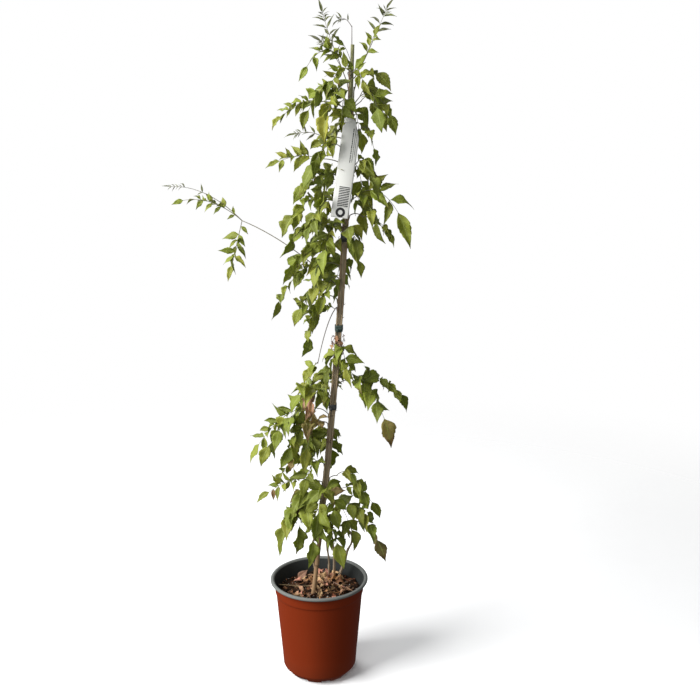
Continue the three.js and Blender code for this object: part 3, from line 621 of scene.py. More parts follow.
def cane_finish():
    finish = Finish("cane_bamboo")
    tone = finish.carried("tone", "Color")
    grain = finish.grain((900, 9), 4.0, 0.65)
    streaks = finish.patches(0.42, 0.68, (260, 5), 3.0, 0.6)
    stains = finish.patches(0.5, 0.72, (55, 26), 5.0, 0.6)
    green = finish.patches(0.5, 0.75, (40, 12), 3.0)
    height = finish.axis(finish.where(), 2)
    foot = 1 - finish.between(height, 0.3, 0.5)
    head = finish.between(height, 1.12, 1.3)
    weathered = finish.layered(
        (0.2, 0.155, 0.09),
        (grain, (0.5, 0.4, 0.26)),
        (streaks * 0.45, (0.045, 0.031, 0.02)),
        (stains * 0.35, (0.04, 0.03, 0.022)),
        (green * 0.25, (0.12, 0.125, 0.06)),
        (foot * 0.8, (0.23, 0.13, 0.06)),
        (head * 0.75, (0.15, 0.17, 0.06)),
    )
    colour = finish.blend(1.0, weathered, tone, "MULTIPLY")
    return finish.coat(colour, 0.5 + grain * 0.25, grain + stains * 0.4, 0.0006, 0.7, 0.35)


stock = Stock()
heights = np.unique(np.concatenate([
    np.linspace(60, CANE_TOP - 0.6, 150),
    *[joint + np.array([-5, -3, -1.6, -0.8, 0, 0.8, 1.6, 3, 5]) for joint in CANE_JOINTS],
]))
swelling = np.zeros(len(heights))
shade = np.ones(len(heights))
for joint in CANE_JOINTS:
    swelling += 0.42 * np.exp(-(((heights - joint) / 2.2) ** 2))
    swelling -= 0.28 * np.exp(-(((heights - joint + 2.4) / 1.1) ** 2))
    shade -= 0.5 * np.exp(-(((heights - joint + 2.0) / 1.8) ** 2))
cane_path = np.array([cane_at(z) for z in heights])
cane_radii = CANE_RADIUS - 0.45 + swelling - 0.0011 * (heights - 60)
tube(stock, cane_path, cane_radii, CANE_SIDES, np.repeat(shade, CANE_SIDES)[:, None])
cane = stock.piece("cane_stake", cane_finish())
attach(cane, "root")
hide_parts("cane")


# Four woody stems come out of the mix behind and beside the cane, meet it under the lowest tie and
# climb beside it. They have a knuckle at each old leaf pair, corky specks and the stubs of old stalks.
VINE_RADIUS = 2.1
FIT_GAP = 0.4
VINE_OFFSET = CANE_RADIUS + VINE_RADIUS + FIT_GAP
STEM_STEP = 4.0
STEM_SIDES = 10
WOODY = np.array([0.34, 0.275, 0.17])
TAN_FOOT = np.array([0.46, 0.36, 0.25])
GREENISH = np.array([0.4, 0.4, 0.2])
REDDISH = np.array([0.34, 0.23, 0.13])
# The heights where stems are held to the cane, then each one's name, compass, top and loose foot.
BENDS = [366, 500, 660, 820, 980, 1140, 1260]
VINES = [
    ("vine_a", 130, 1240, [(20, 52, -40), (20, 52, 0), (21, 38, 56), (15, 18, 116)]),
    ("vine_b", 232, 1330, [(-4, 36, -40), (-4, 36, 0), (-13, 20, 56), (-16, -9, 112)]),
    ("vine_c", 308, 1260,
     [(42, 54, -40), (42, 54, 0), (58, 40, 52), (64, 38, 80), (73, 35, 100), (72, 31, 124),
      (55, 20, 146), (32, 2, 160)]),
    ("vine_d", 50, 1296, [(32, 62, -40), (32, 62, 0), (33, 48, 60), (29, 26, 116)]),
]


def level(angle):
    """The level direction at an angle, or one for each of several."""
    return np.stack([np.cos(angle), np.sin(angle), 0 * angle], axis=-1)


def heading(compass):
    return level(np.radians(compass))


def stem_finish():
    finish = Finish("stem_bark")
    tone = finish.carried("tone", "Color")
    fibres = finish.grain((1400, 60), 4.0, 0.65)
    patches = finish.patches(0.4, 0.68, 45, 4.0, 0.6)
    pores = finish.node("TexVoronoi", {}, {"Vector": finish.where(), "Scale": 340})
    specks = 1 - finish.between(pores, 0.1, 0.26)
    ridged = finish.blend(fibres * 0.9, tone, (0.45, 0.4, 0.36), "MULTIPLY")
    colour = finish.layered(ridged, (patches * 0.35, (0.14, 0.09, 0.06)), (specks * 0.4, (0.34, 0.26, 0.19)))
    return finish.coat(colour, 0.55 + fibres * 0.25, fibres + specks * 0.6, 0.0005, 0.8, 0.3)


def stub(stock, root, outward, length, tone):
    """The short hard stub of an old leaf stalk."""
    tip = root + outward * length + np.array([0, 0, 0.25 * length])
    bend = root + outward * length * 0.45 + np.array([0, 0, 0.02 * length])
    tube(stock, [root, bend, tip], [1.0, 0.7, 0.28], 6, tone)


stem_bark = stem_finish()
rng = np.random.default_rng(31)
for name, bearing, top, loose in VINES:
    stock = Stock()
    foot = [(x, y, SOIL_LEVEL + rise) for x, y, rise in loose]
    climb = [cane_at(z) + heading(bearing) * VINE_OFFSET for z in [*BENDS, top] if z <= top]
    path = smooth_path([*foot, *climb], 26)
    gaps = np.linalg.norm(np.diff(path, axis=0), axis=1)
    along = np.concatenate([[0], np.cumsum(gaps)])
    even = np.arange(0, along[-1], STEM_STEP)
    path = np.column_stack([np.interp(even, along, path[:, axis]) for axis in range(3)])
    free = np.clip(1 - (path[:, 2] - 340) / 40, 0, 1) * np.clip((path[:, 2] - 200) / 20, 0, 1)
    wander = np.array([
        [noise.noise(Vector((0.03 * reach, bearing + 0.3, turn))) for turn in (0.4, 50.7)] + [0]
        for reach in even
    ])
    path = path + wander * (0.3 + 0.6 * free)[:, None]
    radii = np.interp(even, [0, even[-1] * 0.3, even[-1]], [2.3, 2.0, 1.25])
    radii = radii + 0.12 * np.sin(even * 0.21 + bearing)
    if name in ("vine_c", "vine_d"):
        radii = radii + 0.9 * np.clip((290 - path[:, 2]) / 60, 0, 1)
    knuckles = np.cumsum(rng.uniform(46, 84, 24))
    for knuckle in knuckles[knuckles < even[-1] - 20]:
        radii = radii + 0.62 * np.exp(-(((even - knuckle) / 3.2) ** 2))
        here = path[int(knuckle / STEM_STEP)]
        away = unit(here - cane_at(here[2])) if here[2] > 360 else heading(bearing)
        outward = unit(away + np.array([*rng.uniform(-0.7, 0.7, 2), 0.1]))
        if rng.uniform() < 0.6:
            stub(stock, here, outward, rng.uniform(4, 8), WOODY * 0.7)
    share = np.clip((path[:, 2] - 500) / 800, 0, 1)[:, None]
    upper = REDDISH if name in ("vine_b", "vine_c") else GREENISH
    low = np.clip((300 - path[:, 2]) / 80, 0, 1)[:, None]
    tones = (WOODY * (1 - share) + upper * share) * (1 - low) + TAN_FOOT * low
    tube(stock, path, radii, STEM_SIDES, np.repeat(tones, STEM_SIDES, axis=0))
    vine = stock.piece(f"stem_{name[-1]}", stem_bark)
    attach(vine, "root")
    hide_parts(name)


# Five ties of soft plastic tape hold the stems to the cane. Each is wound nearly three times round
# the bundle, follows its outline, and leaves one or more short twisted tails.
BAND_RADIUS = CANE_RADIUS + 2 * VINE_RADIUS + 2 * FIT_GAP + 0.7
LOOSE_END = -109
TIES = [
    ("tie_lowest", 384, 12, [LOOSE_END], (0.016, 0.018, 0.017)),
    ("tie_low", 628, 15, [LOOSE_END], (0.013, 0.014, 0.014)),
    ("tie_middle", 800, 16, [LOOSE_END], (0.004, 0.014, 0.01)),
    ("tie_upper", 992, 18, [LOOSE_END, -28, 205], (0.012, 0.013, 0.013)),
    ("tie_top", 1162, 9, [LOOSE_END, 190], (0.012, 0.013, 0.013)),
]
TAPE_TURNS = 2.7
STATIONS_WOUND = 110
STATIONS_LOOSE = 16


def tape_finish(name, colour):
    finish = Finish(name)
    ribs = finish.grain((30, 1500))
    dust = finish.patches(0.5, 0.8, 160, 4.0, 0.65)
    pale = tuple(channel * 2.6 + 0.02 for channel in colour)
    dusty = finish.layered(colour, (ribs, pale), (dust * 0.35, (0.16, 0.14, 0.11)))
    rough = 0.38 + dust * 0.3 + ribs * 0.1
    return finish.coat(dusty, rough, ribs + dust * 0.4, 0.0005, 0.6, 0.45)


def bundle_radius(angle, vines):
    """How far the bundle of cane and stems reaches at an angle, under a tight band."""
    normals = np.linspace(0, 2 * math.pi, 181)[:-1]
    support = np.full(len(normals), CANE_RADIUS)
    for bearing in vines:
        reach = VINE_OFFSET * np.cos(normals - math.radians(bearing)) + VINE_RADIUS
        support = np.maximum(support, reach)
    toward = np.cos(normals - angle)
    return (support[toward > 0.2] / toward[toward > 0.2]).min()


def ribbon(path, sideways, outward, half_height, thick, rng):
    """A closed strip of tape along a path."""
    lanes = np.linspace(-1, 1, 5)[None, :, None]
    fray = rng.uniform(-0.3, 0.3, (len(path), 1, 1)) * np.abs(lanes)
    front = path[:, None, :] + (half_height[:, None, None] * lanes + fray) * sideways[:, None, :]
    back = front - outward[:, None, :] * thick
    return shell(front[:, ::-1], back[:, ::-1])


for name, height, width, loose_ends, colour in TIES:
    rng = np.random.default_rng(height)
    stock = Stock()
    centre = cane_at(height)
    vines = [bearing for _, bearing, top, _ in VINES if top > height]
    turns = np.linspace(0, TAPE_TURNS * 2 * math.pi, STATIONS_WOUND) + rng.uniform(0, 6)
    radii = np.array([bundle_radius(angle % (2 * math.pi), vines) for angle in turns])
    radii = radii + 0.5 + 0.42 * np.arange(STATIONS_WOUND) / 40
    radii = radii + rng.uniform(-0.06, 0.06, STATIONS_WOUND)
    outward = level(turns)
    upright = np.tile([0, 0, 1.0], (STATIONS_WOUND, 1))
    drift = np.linspace(-0.16, 0.16, STATIONS_WOUND)[:, None] * width
    path = centre + outward * radii[:, None] + drift * upright
    half = np.full(STATIONS_WOUND, width * 0.34)
    stock.add(*ribbon(path, upright, outward, half, 0.32, rng))
    for compass in loose_ends:
        spread, from_centre = 3.8, BAND_RADIUS + 0.4
        if compass != LOOSE_END:
            spread, from_centre = 13, bundle_radius(math.radians(compass % 360), vines)
        away = heading(compass)
        across = np.cross(away, [0, 0, 1])
        fall = np.linspace(0, 1, STATIONS_LOOSE)[:, None]
        tail = centre + away * from_centre + away * (spread * fall**0.7) + np.array([0, 0, -12.0]) * fall
        tail = tail + np.array([2.0, 0, 0]) * np.sin(fall * 3)
        tail_turn = fall * 2.4
        sideways = across * np.cos(tail_turn) + away * np.sin(tail_turn)
        face = away * np.cos(tail_turn) - across * np.sin(tail_turn)
        half = np.linspace(2.4, 1.5, STATIONS_LOOSE)
        stock.add(*ribbon(tail, sideways, face, half, 0.4, rng))
    tie = stock.piece(f"tape_{name}", tape_finish(f"tape_{name}", colour))
    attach(tie, "root")
    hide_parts(name)


# Dry tendrils and withered leaflets have stayed wound round the bundle, most of them under the
# middle tie, which holds them. They are brittle, reddish brown and curled.
DRY_TONES = np.array([[0.26, 0.13, 0.075], [0.18, 0.08, 0.05], [0.36, 0.21, 0.12]])
# Heights with the number of tendrils there, and each leaflet's height, compass and length.
DRY_TENDRILS = [(776, 16), (742, 6), (1010, 5), (566, 4)]
DRY_LEAFLETS = [(786, 250, 17), (776, 290, 20), (768, 215, 15), (760, 315, 16), (752, 262, 18)]
rng = np.random.default_rng(61)
stock = Stock()
for height, count in DRY_TENDRILS:
    for _ in range(count):
        z = height + rng.normal(0, 11)
        start = rng.uniform(170, 350)
        turning = np.linspace(start, start + rng.uniform(-110, 110), 6)
        climb = z + np.cumsum(rng.normal(-1, 3, 6))
        off = VINE_OFFSET + VINE_RADIUS + 1.2 + np.abs(rng.normal(0, 1.3, 6)) * np.linspace(0.4, 3, 6)
        loop = [cane_at(h) + heading(turn) * far for h, turn, far in zip(climb, turning, off)]
        tone = DRY_TONES[rng.integers(3)] * rng.uniform(0.7, 1.3)
        tube(stock, smooth_path(loop, 5), np.linspace(0.7, 0.3, 26), 5, tone)
dry_knot = stock.piece("dry_tendrils", bark_skin)
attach(dry_knot, "root")
dry_skin = leaf_finish("dry_leaf", 0.1, 0.65, (0.4, 0.24, 0.13), (0.36, 0.2, 0.12))
stock = Stock()
for height, compass, length in DRY_LEAFLETS:
    root = cane_at(height) + heading(compass) * (VINE_OFFSET + 3)
    lean = unit(heading(compass + rng.uniform(-40, 40)) * 0.5 - np.array([0, 0, 1]))
    facing = unit(np.cross(lean, np.cross(heading(compass), lean)))
    leaflet = loose_leaflet(root, lean, facing, length, 2)
    blade(stock, leaflet, rng, DRY_TONES[rng.integers(3)] * 1.3, 0.3, curl=2.2)
dry_leaves = stock.piece("dry_leaflets", dry_skin)
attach(dry_leaves, "root")


# The tag is a strip of white printed plastic. Its neck passes round the bundle as a strap, and it
# hangs in front, leaning out, with plain ruled lines, a plain hatched block and a plain ring on it.
TAG_WIDTH = 36
HALF_SHEET = 0.3
STRAP_RADIUS = BAND_RADIUS + 0.5
TAG_HOLD = cane_at(1229)
TAG_TOP = TAG_HOLD + np.array([5, 1 - STRAP_RADIUS, 0])
TAG_FOOT = np.array([48, -39, 1035])
tag_up = unit(TAG_TOP - TAG_FOOT)
tag_length = float(np.linalg.norm(TAG_TOP - TAG_FOOT))
tag_right = unit(np.array([1, 0, 0]) - tag_up * tag_up[0])
tag_out = np.cross(tag_right, tag_up)


def tag_finish():
    """White plastic with black print, laid out in millimetres across and up from the tag's foot, with
    painted shade greying its neck.
    """
    finish = Finish("tag_plastic")
    place = finish.carried("place", "Vector")
    across, along, front = [finish.axis(place, number) for number in (0, 1, 2)]

    def inside(value, low, high):
        return (value > low) * (value < high)

    def hatching(pitch, share):
        return finish.node("Math", {"operation": "FRACT"}, {0: along / pitch}) < share

    dashes = finish.node("TexNoise", {"noise_dimensions": "1D"}, {"W": along, "Scale": 0.7}) > 0.42
    lines = inside(across, 4.6, 6.6) * inside(along, 112, 182)
    lines = lines + inside(across, 9.0, 10.2) * inside(along, 114, 185)
    lines = (lines + inside(across, 12.4, 13.4) * inside(along, 126, 172)) * dashes
    block = inside(across, -8, 14) * inside(along, 22, 64) * hatching(3.4, 0.6)
    ring_away = (across - 0.5) ** 2.0 + (along - 11) ** 2.0
    ring = inside(ring_away, 22.0, 98.0)
    ink = (lines + block + ring) * front
    scuffs = finish.patches(0.6, 0.75, (300, 60), 4.0, 0.7)
    # Painted shade: the neck, where the tag folds round the bundle, is greyed.
    painted_neck_shade = finish.between(along + finish.grain(40) * 20, tag_length - 22, tag_length - 4)
    printed = finish.layered(
        (0.52, 0.52, 0.49),
        (finish.grain(30, 4.0), (0.59, 0.59, 0.555)),
        (painted_neck_shade * 0.35, (0.3, 0.305, 0.31)),
        (scuffs * 0.2, (0.4, 0.39, 0.36)),
        (ink * 0.99, (0.006, 0.006, 0.007)),
    )
    rough = 0.4 + scuffs * 0.2 - ink * 0.08
    return finish.coat(printed, rough, finish.grain(700) + scuffs * 0.3, 0.0002, 0.5, 0.15)


stock = Stock()
rise = np.linspace(0, tag_length + 2.4, 64)
left_edge = np.interp(rise, [0, 1.5, tag_length - 14, tag_length + 3], [17.2, 18, 18, 5.5])
right_edge = np.interp(rise, [0, 1.5, tag_length - 36, tag_length + 3], [17.2, 18, 18, 5.5])
lanes = np.linspace(-1, 1, 13)[None, :]
out = np.where(lanes < 0, left_edge[:, None], right_edge[:, None]) * lanes
lie = 1.3 - 2.6 * lanes**2 * np.clip(rise / 60, 0.25, 1)[:, None]
lie = lie * np.clip((tag_length + 3 - rise) / 40, 0, 1)[:, None]
lie += 0.9 * np.sin(rise / 31)[:, None]
front = TAG_FOOT + rise[:, None, None] * tag_up + out[..., None] * tag_right + lie[..., None] * tag_out
half_sheet = HALF_SHEET * tag_out
points, smooth, flat = shell(front[:, ::-1] + half_sheet, front[:, ::-1] - half_sheet)
spots = np.stack(np.broadcast_arrays(out, rise[:, None], 1 + 0 * out), axis=-1)[:, ::-1].reshape(-1, 3)
stock.add(points, smooth, flat, place=np.concatenate([spots, spots * np.array([1, 1, 0])]))
turns = np.linspace(0, 2 * math.pi, 73) - math.pi / 2
outward = level(turns)[:, None, :]
lanes = np.linspace(-4.6, 4.6, 5)[None, :, None]
front = TAG_HOLD + outward * STRAP_RADIUS + lanes * np.array([0, 0, 1])
half_sheet = HALF_SHEET * outward
points, smooth, flat = shell(front[:, ::-1] + half_sheet, front[:, ::-1] - half_sheet)
stock.add(points, smooth, flat)
tag = stock.piece("hanging_tag", tag_finish())
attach(tag, "root")
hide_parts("tag")


# Leafy shoots leave the bundle all the way up, each with one to three feathered fronds. A frond is
# a thin rib with pairs of thin satin leaflets and one at its end, which droop and turn to the light.
BUNDLE_RADIUS = 7.4
RIB_SUNK = 2.5
LEAF_CLEARANCE = 7
FILLING_CLEARANCE = 4.5
TUFT_CLEARANCE = 1.5
FULLNESS_LEFT, FULLNESS_RIGHT = 0.78, 0.22
RIB_CLEARANCE = 5
CANE_CLEARANCE = 14.5
FIRST_SEED = 3
GROWN, NARROW, YOUNG = 0.46, 0.37, 0.27
YOUNG_SLIM = 0.68
TUFT_PLACES = (0.84, 0.89, 0.94, 0.99)
FIRST_PAIR, LAST_PAIR, LONE_PAIR = 0.3, 0.8, 0.55
CROWDED = 0.72
UP = np.array([0, 0, 1.0])
SUNWARD = unit([-0.15, -0.9, 0.55])
TURNS = [0, 20, -20, 40, -40, 62, -62, 85]
# The shoots from the top down: name, height, compass, reach, rise and arch, then for each frond
# its place along the shoot, compass, reach, rise, arch, pairs, leaflet length and width share.
SHOOTS = [
    ["tip_left", 1300, 180, 26, 66, 0,
        [[1, 168, 26, 74, -3, 4, 30, YOUNG], [0.45, 160, 44, 54, 6, 3, 26, YOUNG]]],
    ["tip_centre", 1328, 90, 6, 86, 0,
        [[1, 180, 26, 14, 8, 4, 20, YOUNG], [0.1, 210, 18, 38, 4, 2, 30, NARROW]]],
    ["tip_right", 1316, 0, 36, 70, -4,
        [[1, 0, 26, 58, 0, 3, 32, YOUNG], [0.5, 330, 22, 46, 0, 2, 26, NARROW]]],
    ["crown_left", 1335, 186, 14, 14, 0,
        [[1, 184, 70, -12, 24, 5, 34, NARROW], [1, 225, 30, 6, 8, 3, 32, NARROW]]],
    ["crown_right", 1300, 350, 12, 12, 0, [[1, 358, 32, 12, 8, 1, 38, GROWN]]],
    ["crown_front", 1316, 268, 14, 4, 0,
        [[1, 205, 40, -14, 16, 4, 32, NARROW], [1, 325, 26, -12, 12, 2, 34, NARROW]]],
    ["upper_left", 1268, 198, 14, 10, 0,
        [[1, 184, 66, -26, 28, 4, 46, GROWN], [1, 235, 48, -36, 26, 3, 48, GROWN],
         [0.5, 262, 36, -54, 14, 2, 46, GROWN]]],
    ["upper_right", 1262, 344, 14, 16, 0,
        [[1, 318, 44, -22, 26, 3, 48, GROWN], [1, 2, 60, -34, 20, 4, 44, GROWN]]],
    ["outer_right", 1256, 18, 16, 12, 0, [[1, 30, 44, -16, 18, 2, 42, GROWN]]],
    ["reach_left", 1250, 168, 60, 16, 6, [[1, 178, 76, -28, 12, 4, 32, NARROW]]],
    ["young_left", 1190, 168, 50, 6, 4,
        [[1, 178, 56, 6, 6, 4, 24, YOUNG], [0.5, 225, 34, -26, 14, 3, 40, GROWN]]],
    ["inner_left", 1174, 196, 14, 4, 0, [[1, 203, 56, -34, 18, 3, 48, GROWN]]],
    ["mid_left", 1140, 176, 50, 12, 4, [[1, 183, 86, -4, 8, 4, 36, NARROW]]],
    ["pair_right", 1206, 0, 16, 4, 0, [[1, 0, 28, -34, 20, 1, 40, GROWN]]],
    ["tag_right", 1140, 344, 12, 4, 0,
        [[1, 325, 32, -22, 15, 3, 46, GROWN], [0.5, 60, 34, -54, 14, 3, 46, GROWN]]],
    ["broad_right", 1068, 352, 16, 10, 0,
        [[1, 353, 84, -30, 26, 2, 62, NARROW], [1, 335, 44, -50, 20, 2, 52, GROWN]]],
    ["below_tag", 1010, 272, 12, 2, 2, [[1, 318, 26, -20, 10, 2, 50, GROWN]]],
    ["drop_right", 1037, 5, 30, -4, 6, [[1, 10, 54, -30, 8, 2, 34, GROWN]]],
    ["tag_left", 1112, 186, 16, 4, 4,
        [[1, 205, 36, -24, 14, 3, 48, GROWN], [1, 176, 66, -18, 12, 3, 38, GROWN]]],
    ["left_a", 1062, 190, 16, 8, 4,
        [[1, 182, 86, -30, 20, 4, 46, GROWN], [1, 218, 62, -50, 20, 3, 48, GROWN]]],
    ["left_b", 1014, 186, 16, 6, 4,
        [[1, 180, 88, -30, 18, 4, 46, GROWN], [1, 245, 46, -50, 15, 3, 48, GROWN]]],
    ["left_c", 972, 190, 16, 6, 4,
        [[1, 190, 86, -42, 18, 4, 48, GROWN], [0.6, 225, 52, -44, 12, 3, 48, GROWN]]],
    ["left_d", 932, 184, 34, 2, 6, [[1, 184, 96, -76, 26, 4, 46, GROWN]]],
    ["left_e", 906, 198, 14, 2, 4,
        [[1, 198, 70, -62, 14, 3, 46, GROWN], [0.6, 232, 34, -34, 8, 2, 40, GROWN]]],
    ["strand", 862, 182, 40, 6, 6, [[1, 184, 26, -84, 12, 4, 40, GROWN]]],
    ["thread", 846, 190, 42, -122, 20,
        [[0.98, 200, 16, -14, 0, 1, 40, GROWN], [0.1, 200, 26, 6, 4, 1, 24, GROWN]]],
    ["long_arch", 888, 173, 206, 138, 14,
        [[1, 180, 122, 42, 16, 6, 26, NARROW], [1, 186, 24, -94, 0, 5, 34, NARROW],
         [0.99, 176, 150, 70, 20, 3, 20, YOUNG]]],
    ["bead_right", 978, 350, 14, 2, 2, [[1, 352, 12, -36, 6, 1, 34, GROWN]]],
    ["knot_leaves", 756, 280, 10, 2, 2,
        [[1, 310, 26, -34, 15, 2, 42, GROWN], [1, 225, 24, -38, 8, 1, 40, GROWN]]],
    ["low_right_a", 692, 350, 20, 6, 4,
        [[1, 342, 84, -88, 28, 4, 54, GROWN], [0.6, 320, 22, 6, 8, 1, 36, GROWN]]],
    ["low_right_b", 676, 10, 24, 8, 4, [[1, 14, 112, -36, 24, 4, 44, GROWN]]],
    ["low_left_a", 652, 190, 16, 8, 2,
        [[1, 184, 46, -2, 12, 1, 60, GROWN], [1, 233, 40, -12, 14, 3, 50, GROWN]]],
    ["low_left_b", 610, 186, 24, 14, 4,
        [[1, 194, 108, -76, 28, 4, 50, GROWN], [1, 172, 132, -84, 28, 5, 42, NARROW]]],
    ["low_left_c", 590, 198, 16, 6, 2,
        [[1, 200, 70, -48, 24, 3, 58, GROWN], [1, 232, 50, -48, 20, 3, 52, GROWN]]],
    ["foot_right_a", 466, 354, 18, 6, 2, [[1, 355, 54, -30, 22, 3, 42, GROWN]]],
    ["foot_right_b", 428, 5, 20, 6, 2, [[1, 5, 80, -28, 20, 4, 40, GROWN]]],
    ["foot_right_c", 402, 2, 26, 6, 4,
        [[1, 356, 88, -86, 28, 4, 50, GROWN], [0.7, 325, 44, -54, 14, 2, 44, GROWN]]],
    ["foot_left_a", 498, 180, 18, 6, 2,
        [[1, 178, 76, -26, 22, 4, 38, GROWN], [0.7, 230, 36, -26, 12, 2, 46, GROWN]]],
    ["foot_left_b", 456, 186, 20, 4, 2, [[1, 186, 98, -22, 14, 5, 36, NARROW]]],
    ["foot_left_c", 422, 195, 16, 4, 2,
        [[1, 192, 62, -62, 28, 3, 64, GROWN], [1, 222, 44, -58, 20, 1, 58, GROWN]]],
    ["foot_front", 440, 265, 14, 6, 2,
        [[1, 250, 34, -40, 15, 2, 52, GROWN], [1, 305, 36, -32, 16, 2, 50, GROWN]]],
    ["foot_lowest", 366, 270, 14, 10, 2,
        [[1, 240, 34, -36, 12, 1, 48, GROWN], [1, 320, 44, -38, 16, 3, 48, GROWN]]],
    ["back_top", 1236, 82, 14, 8, 2,
        [[1, 75, 64, -36, 20, 2, 46, GROWN], [1, 120, 60, -40, 20, 2, 46, GROWN]]],
    ["back_upper", 1076, 95, 14, 8, 2,
        [[1, 60, 70, -40, 20, 2, 50, GROWN], [1, 130, 74, -42, 20, 3, 48, GROWN]]],
    ["back_middle", 924, 84, 14, 8, 2,
        [[1, 105, 66, -50, 20, 2, 50, GROWN], [1, 150, 70, -50, 20, 3, 46, GROWN]]],
    ["back_low", 684, 95, 14, 8, 2,
        [[1, 105, 66, -50, 20, 2, 50, GROWN], [1, 150, 70, -50, 20, 2, 50, GROWN]]],
    ["back_foot", 550, 90, 14, 8, 2,
        [[1, 90, 60, -50, 20, 2, 50, GROWN], [1, 140, 66, -50, 20, 2, 52, GROWN]]],
]


def draws(seed):
    """A seeded source of even draws between two numbers."""
    span = 2**32
    state = (seed * 7919 + 12345) % span

    def draw(low, high):
        nonlocal state
        state = (state * 1664525 + 1013904223) % span
        return low + (high - low) * state / span

    for _ in range(3):
        draw(0, 1)
    return draw


class Rib:
    """An arching rib: out by its reach, up by its rise, with its middle lifted."""

    def __init__(self, start, compass, reach, rise, arch):
        self.start = start
        self.end = start + heading(compass) * reach + UP * rise
        self.middle = start + (self.end - start) * 0.5 + UP * 2 * arch

    def at(self, t):
        return self.start * (1 - t) ** 2 + self.middle * 2 * (1 - t) * t + self.end * t**2

    def slope(self, t):
        return unit((self.middle - self.start) * (1 - t) + (self.end - self.middle) * t)

    def beads(self):
        steps = math.ceil(np.linalg.norm(self.end - self.start) / 6)
        return [self.at(step / steps) for step in range(steps + 1)]


def ribs_of(shoot):
    _, height, compass, reach, rise, arch, fronds = shoot
    start = cane_at(height) + heading(compass) * BUNDLE_RADIUS
    stem = Rib(start, compass, reach, rise, arch)
    furthest = 1 - RIB_SUNK / math.hypot(reach, rise)
    ribs = [stem]
    for place, toward, far, up, lift, *_ in fronds:
        ribs.append(Rib(stem.at(min(place, furthest)), toward, far, up, lift))
    return ribs


def swung(vector, axis, angle):
    cosine, sine = math.cos(angle), math.sin(angle)
    return vector * cosine + np.cross(axis, vector) * sine + axis * (axis @ vector) * (1 - cosine)


class Leaflet:
    """A leaflet leaves its rib sideways, bends down to its tip and turns its face to the light."""

    def __init__(self, root, along, side, length, share, draw):
        hanging = share == GROWN
        face = UP if hanging else SUNWARD
        across = unit(np.cross(along, face) + np.array([0, 1e-6, 0])) * side
        spread = math.radians(draw(40, 65)) * abs(side)
        first = unit(along * math.cos(spread) + across * math.sin(spread) + UP * draw(-0.15, 0.25))
        droop = draw(0.4, 0.9) if hanging else draw(0.1, 0.45)
        last = unit(first * (1 - droop) - UP * droop)
        self.length = length * draw(0.82, 1.18)
        self.width = self.length * share * draw(0.9, 1.1)
        self.root = root
        self.rest_middle = first * self.length * 0.5
        self.rest_tip = self.rest_middle + last * self.length * 0.54
        aside = draw(-1, 1) * (0.95 if hanging else 0.4)
        self.rest_face = SUNWARD + across * (0.4 if hanging else 0)
        self.rest_face = self.rest_face + np.array([aside, draw(-0.3, 0.3), draw(-0.5, 0.5)])
        self.axis = unit(along + face * 0.6)
        # The solid leaf draws its wave here, which the blade draws for itself.
        draw(-0.05, 0.05)
        self.turn(0)

    def turn(self, angle):
        self.middle = swung(self.rest_middle, self.axis, angle)
        self.tip = swung(self.rest_tip, self.axis, angle)
        face = swung(self.rest_face, self.axis, angle)
        chord = unit(self.tip)
        self.normal = unit(face - chord * (face @ chord))
        self.wide = np.cross(chord, self.normal)

    def shrink(self, factor):
        self.length *= factor
        self.width *= factor
        self.rest_middle = self.rest_middle * factor
        self.rest_tip = self.rest_tip * factor

    def midrib(self, u):
        return self.root + self.middle * 2 * u * (1 - u) + self.tip * u * u

    def samples(self):
        places = [self.midrib(1)]
        for u, share in [(0.3, 1), (0.5, 0.85), (0.7, 0.45)]:
            centre = self.midrib(u)
            half = self.width * share / 2
            places += [centre - self.wide * half, centre, centre + self.wide * half]
        return np.array(places)


def nearest(places, others):
    return np.sqrt(((places[:, None, :] - others[None, :, :]) ** 2).sum(axis=2).min())


def from_cane(places):
    beside = [np.linalg.norm(place - cane_at(place[2])) for place in places if place[2] < CANE_TOP]
    return min(beside, default=math.inf)


# No leaflet hangs against the tag or in front of it.
taken = np.array([
    TAG_FOOT + tag_up * rise + tag_right * out + tag_out * ahead
    for ahead in (0, 12, 24, 36)
    for rise in np.arange(0, tag_length, 7)
    for out in np.arange(-TAG_WIDTH / 2, TAG_WIDTH / 2 + 0.01, TAG_WIDTH / 4)
])


def settled(leaflet, other_ribs, clearance):
    """Turns a leaflet about its rib, and at the worst makes it smaller, until it is clear of all."""
    global taken
    for factor in (1, CROWDED):
        leaflet.shrink(factor)
        for degrees in TURNS:
            leaflet.turn(math.radians(degrees))
            places = leaflet.samples()
            if nearest(places, other_ribs) <= RIB_CLEARANCE or from_cane(places) <= CANE_CLEARANCE:
                continue
            if nearest(places, taken) > clearance:
                taken = np.concatenate([taken, places])
                return True
    return False


DEEP = np.array([0.2, 0.245, 0.025])
FRESH = np.array([0.36, 0.42, 0.06])
YELLOWED = np.array([0.5, 0.46, 0.08])
SHADY = np.array([0.13, 0.155, 0.018])
PURPLE = np.array([0.13, 0.12, 0.105])
TAN = (0.56, 0.4, 0.19)
RUSSET = (0.32, 0.16, 0.09)
DEAD_PINK = (0.66, 0.37, 0.27)
OLIVE_TAN = (0.42, 0.34, 0.12)
OLIVE_BROWN = (0.26, 0.21, 0.08)
# Where leaflets have withered on the plant: across and height, how far round, and the tint.
WITHERED_SPOTS = [
    (-12, 633, 16, DEAD_PINK), (4, 593, 22, TAN), (128, 602, 16, TAN), (153, 563, 20, OLIVE_TAN),
    (54, 454, 18, TAN), (-95, 421, 14, RUSSET), (-77, 403, 16, RUSSET), (-48, 407, 13, OLIVE_TAN),
    (112, 300, 32, OLIVE_BROWN), (-57, 860, 13, TAN), (-60, 505, 12, TAN), (171, 295, 10, RUSSET),
    (-28, 593, 12, OLIVE_TAN),
]


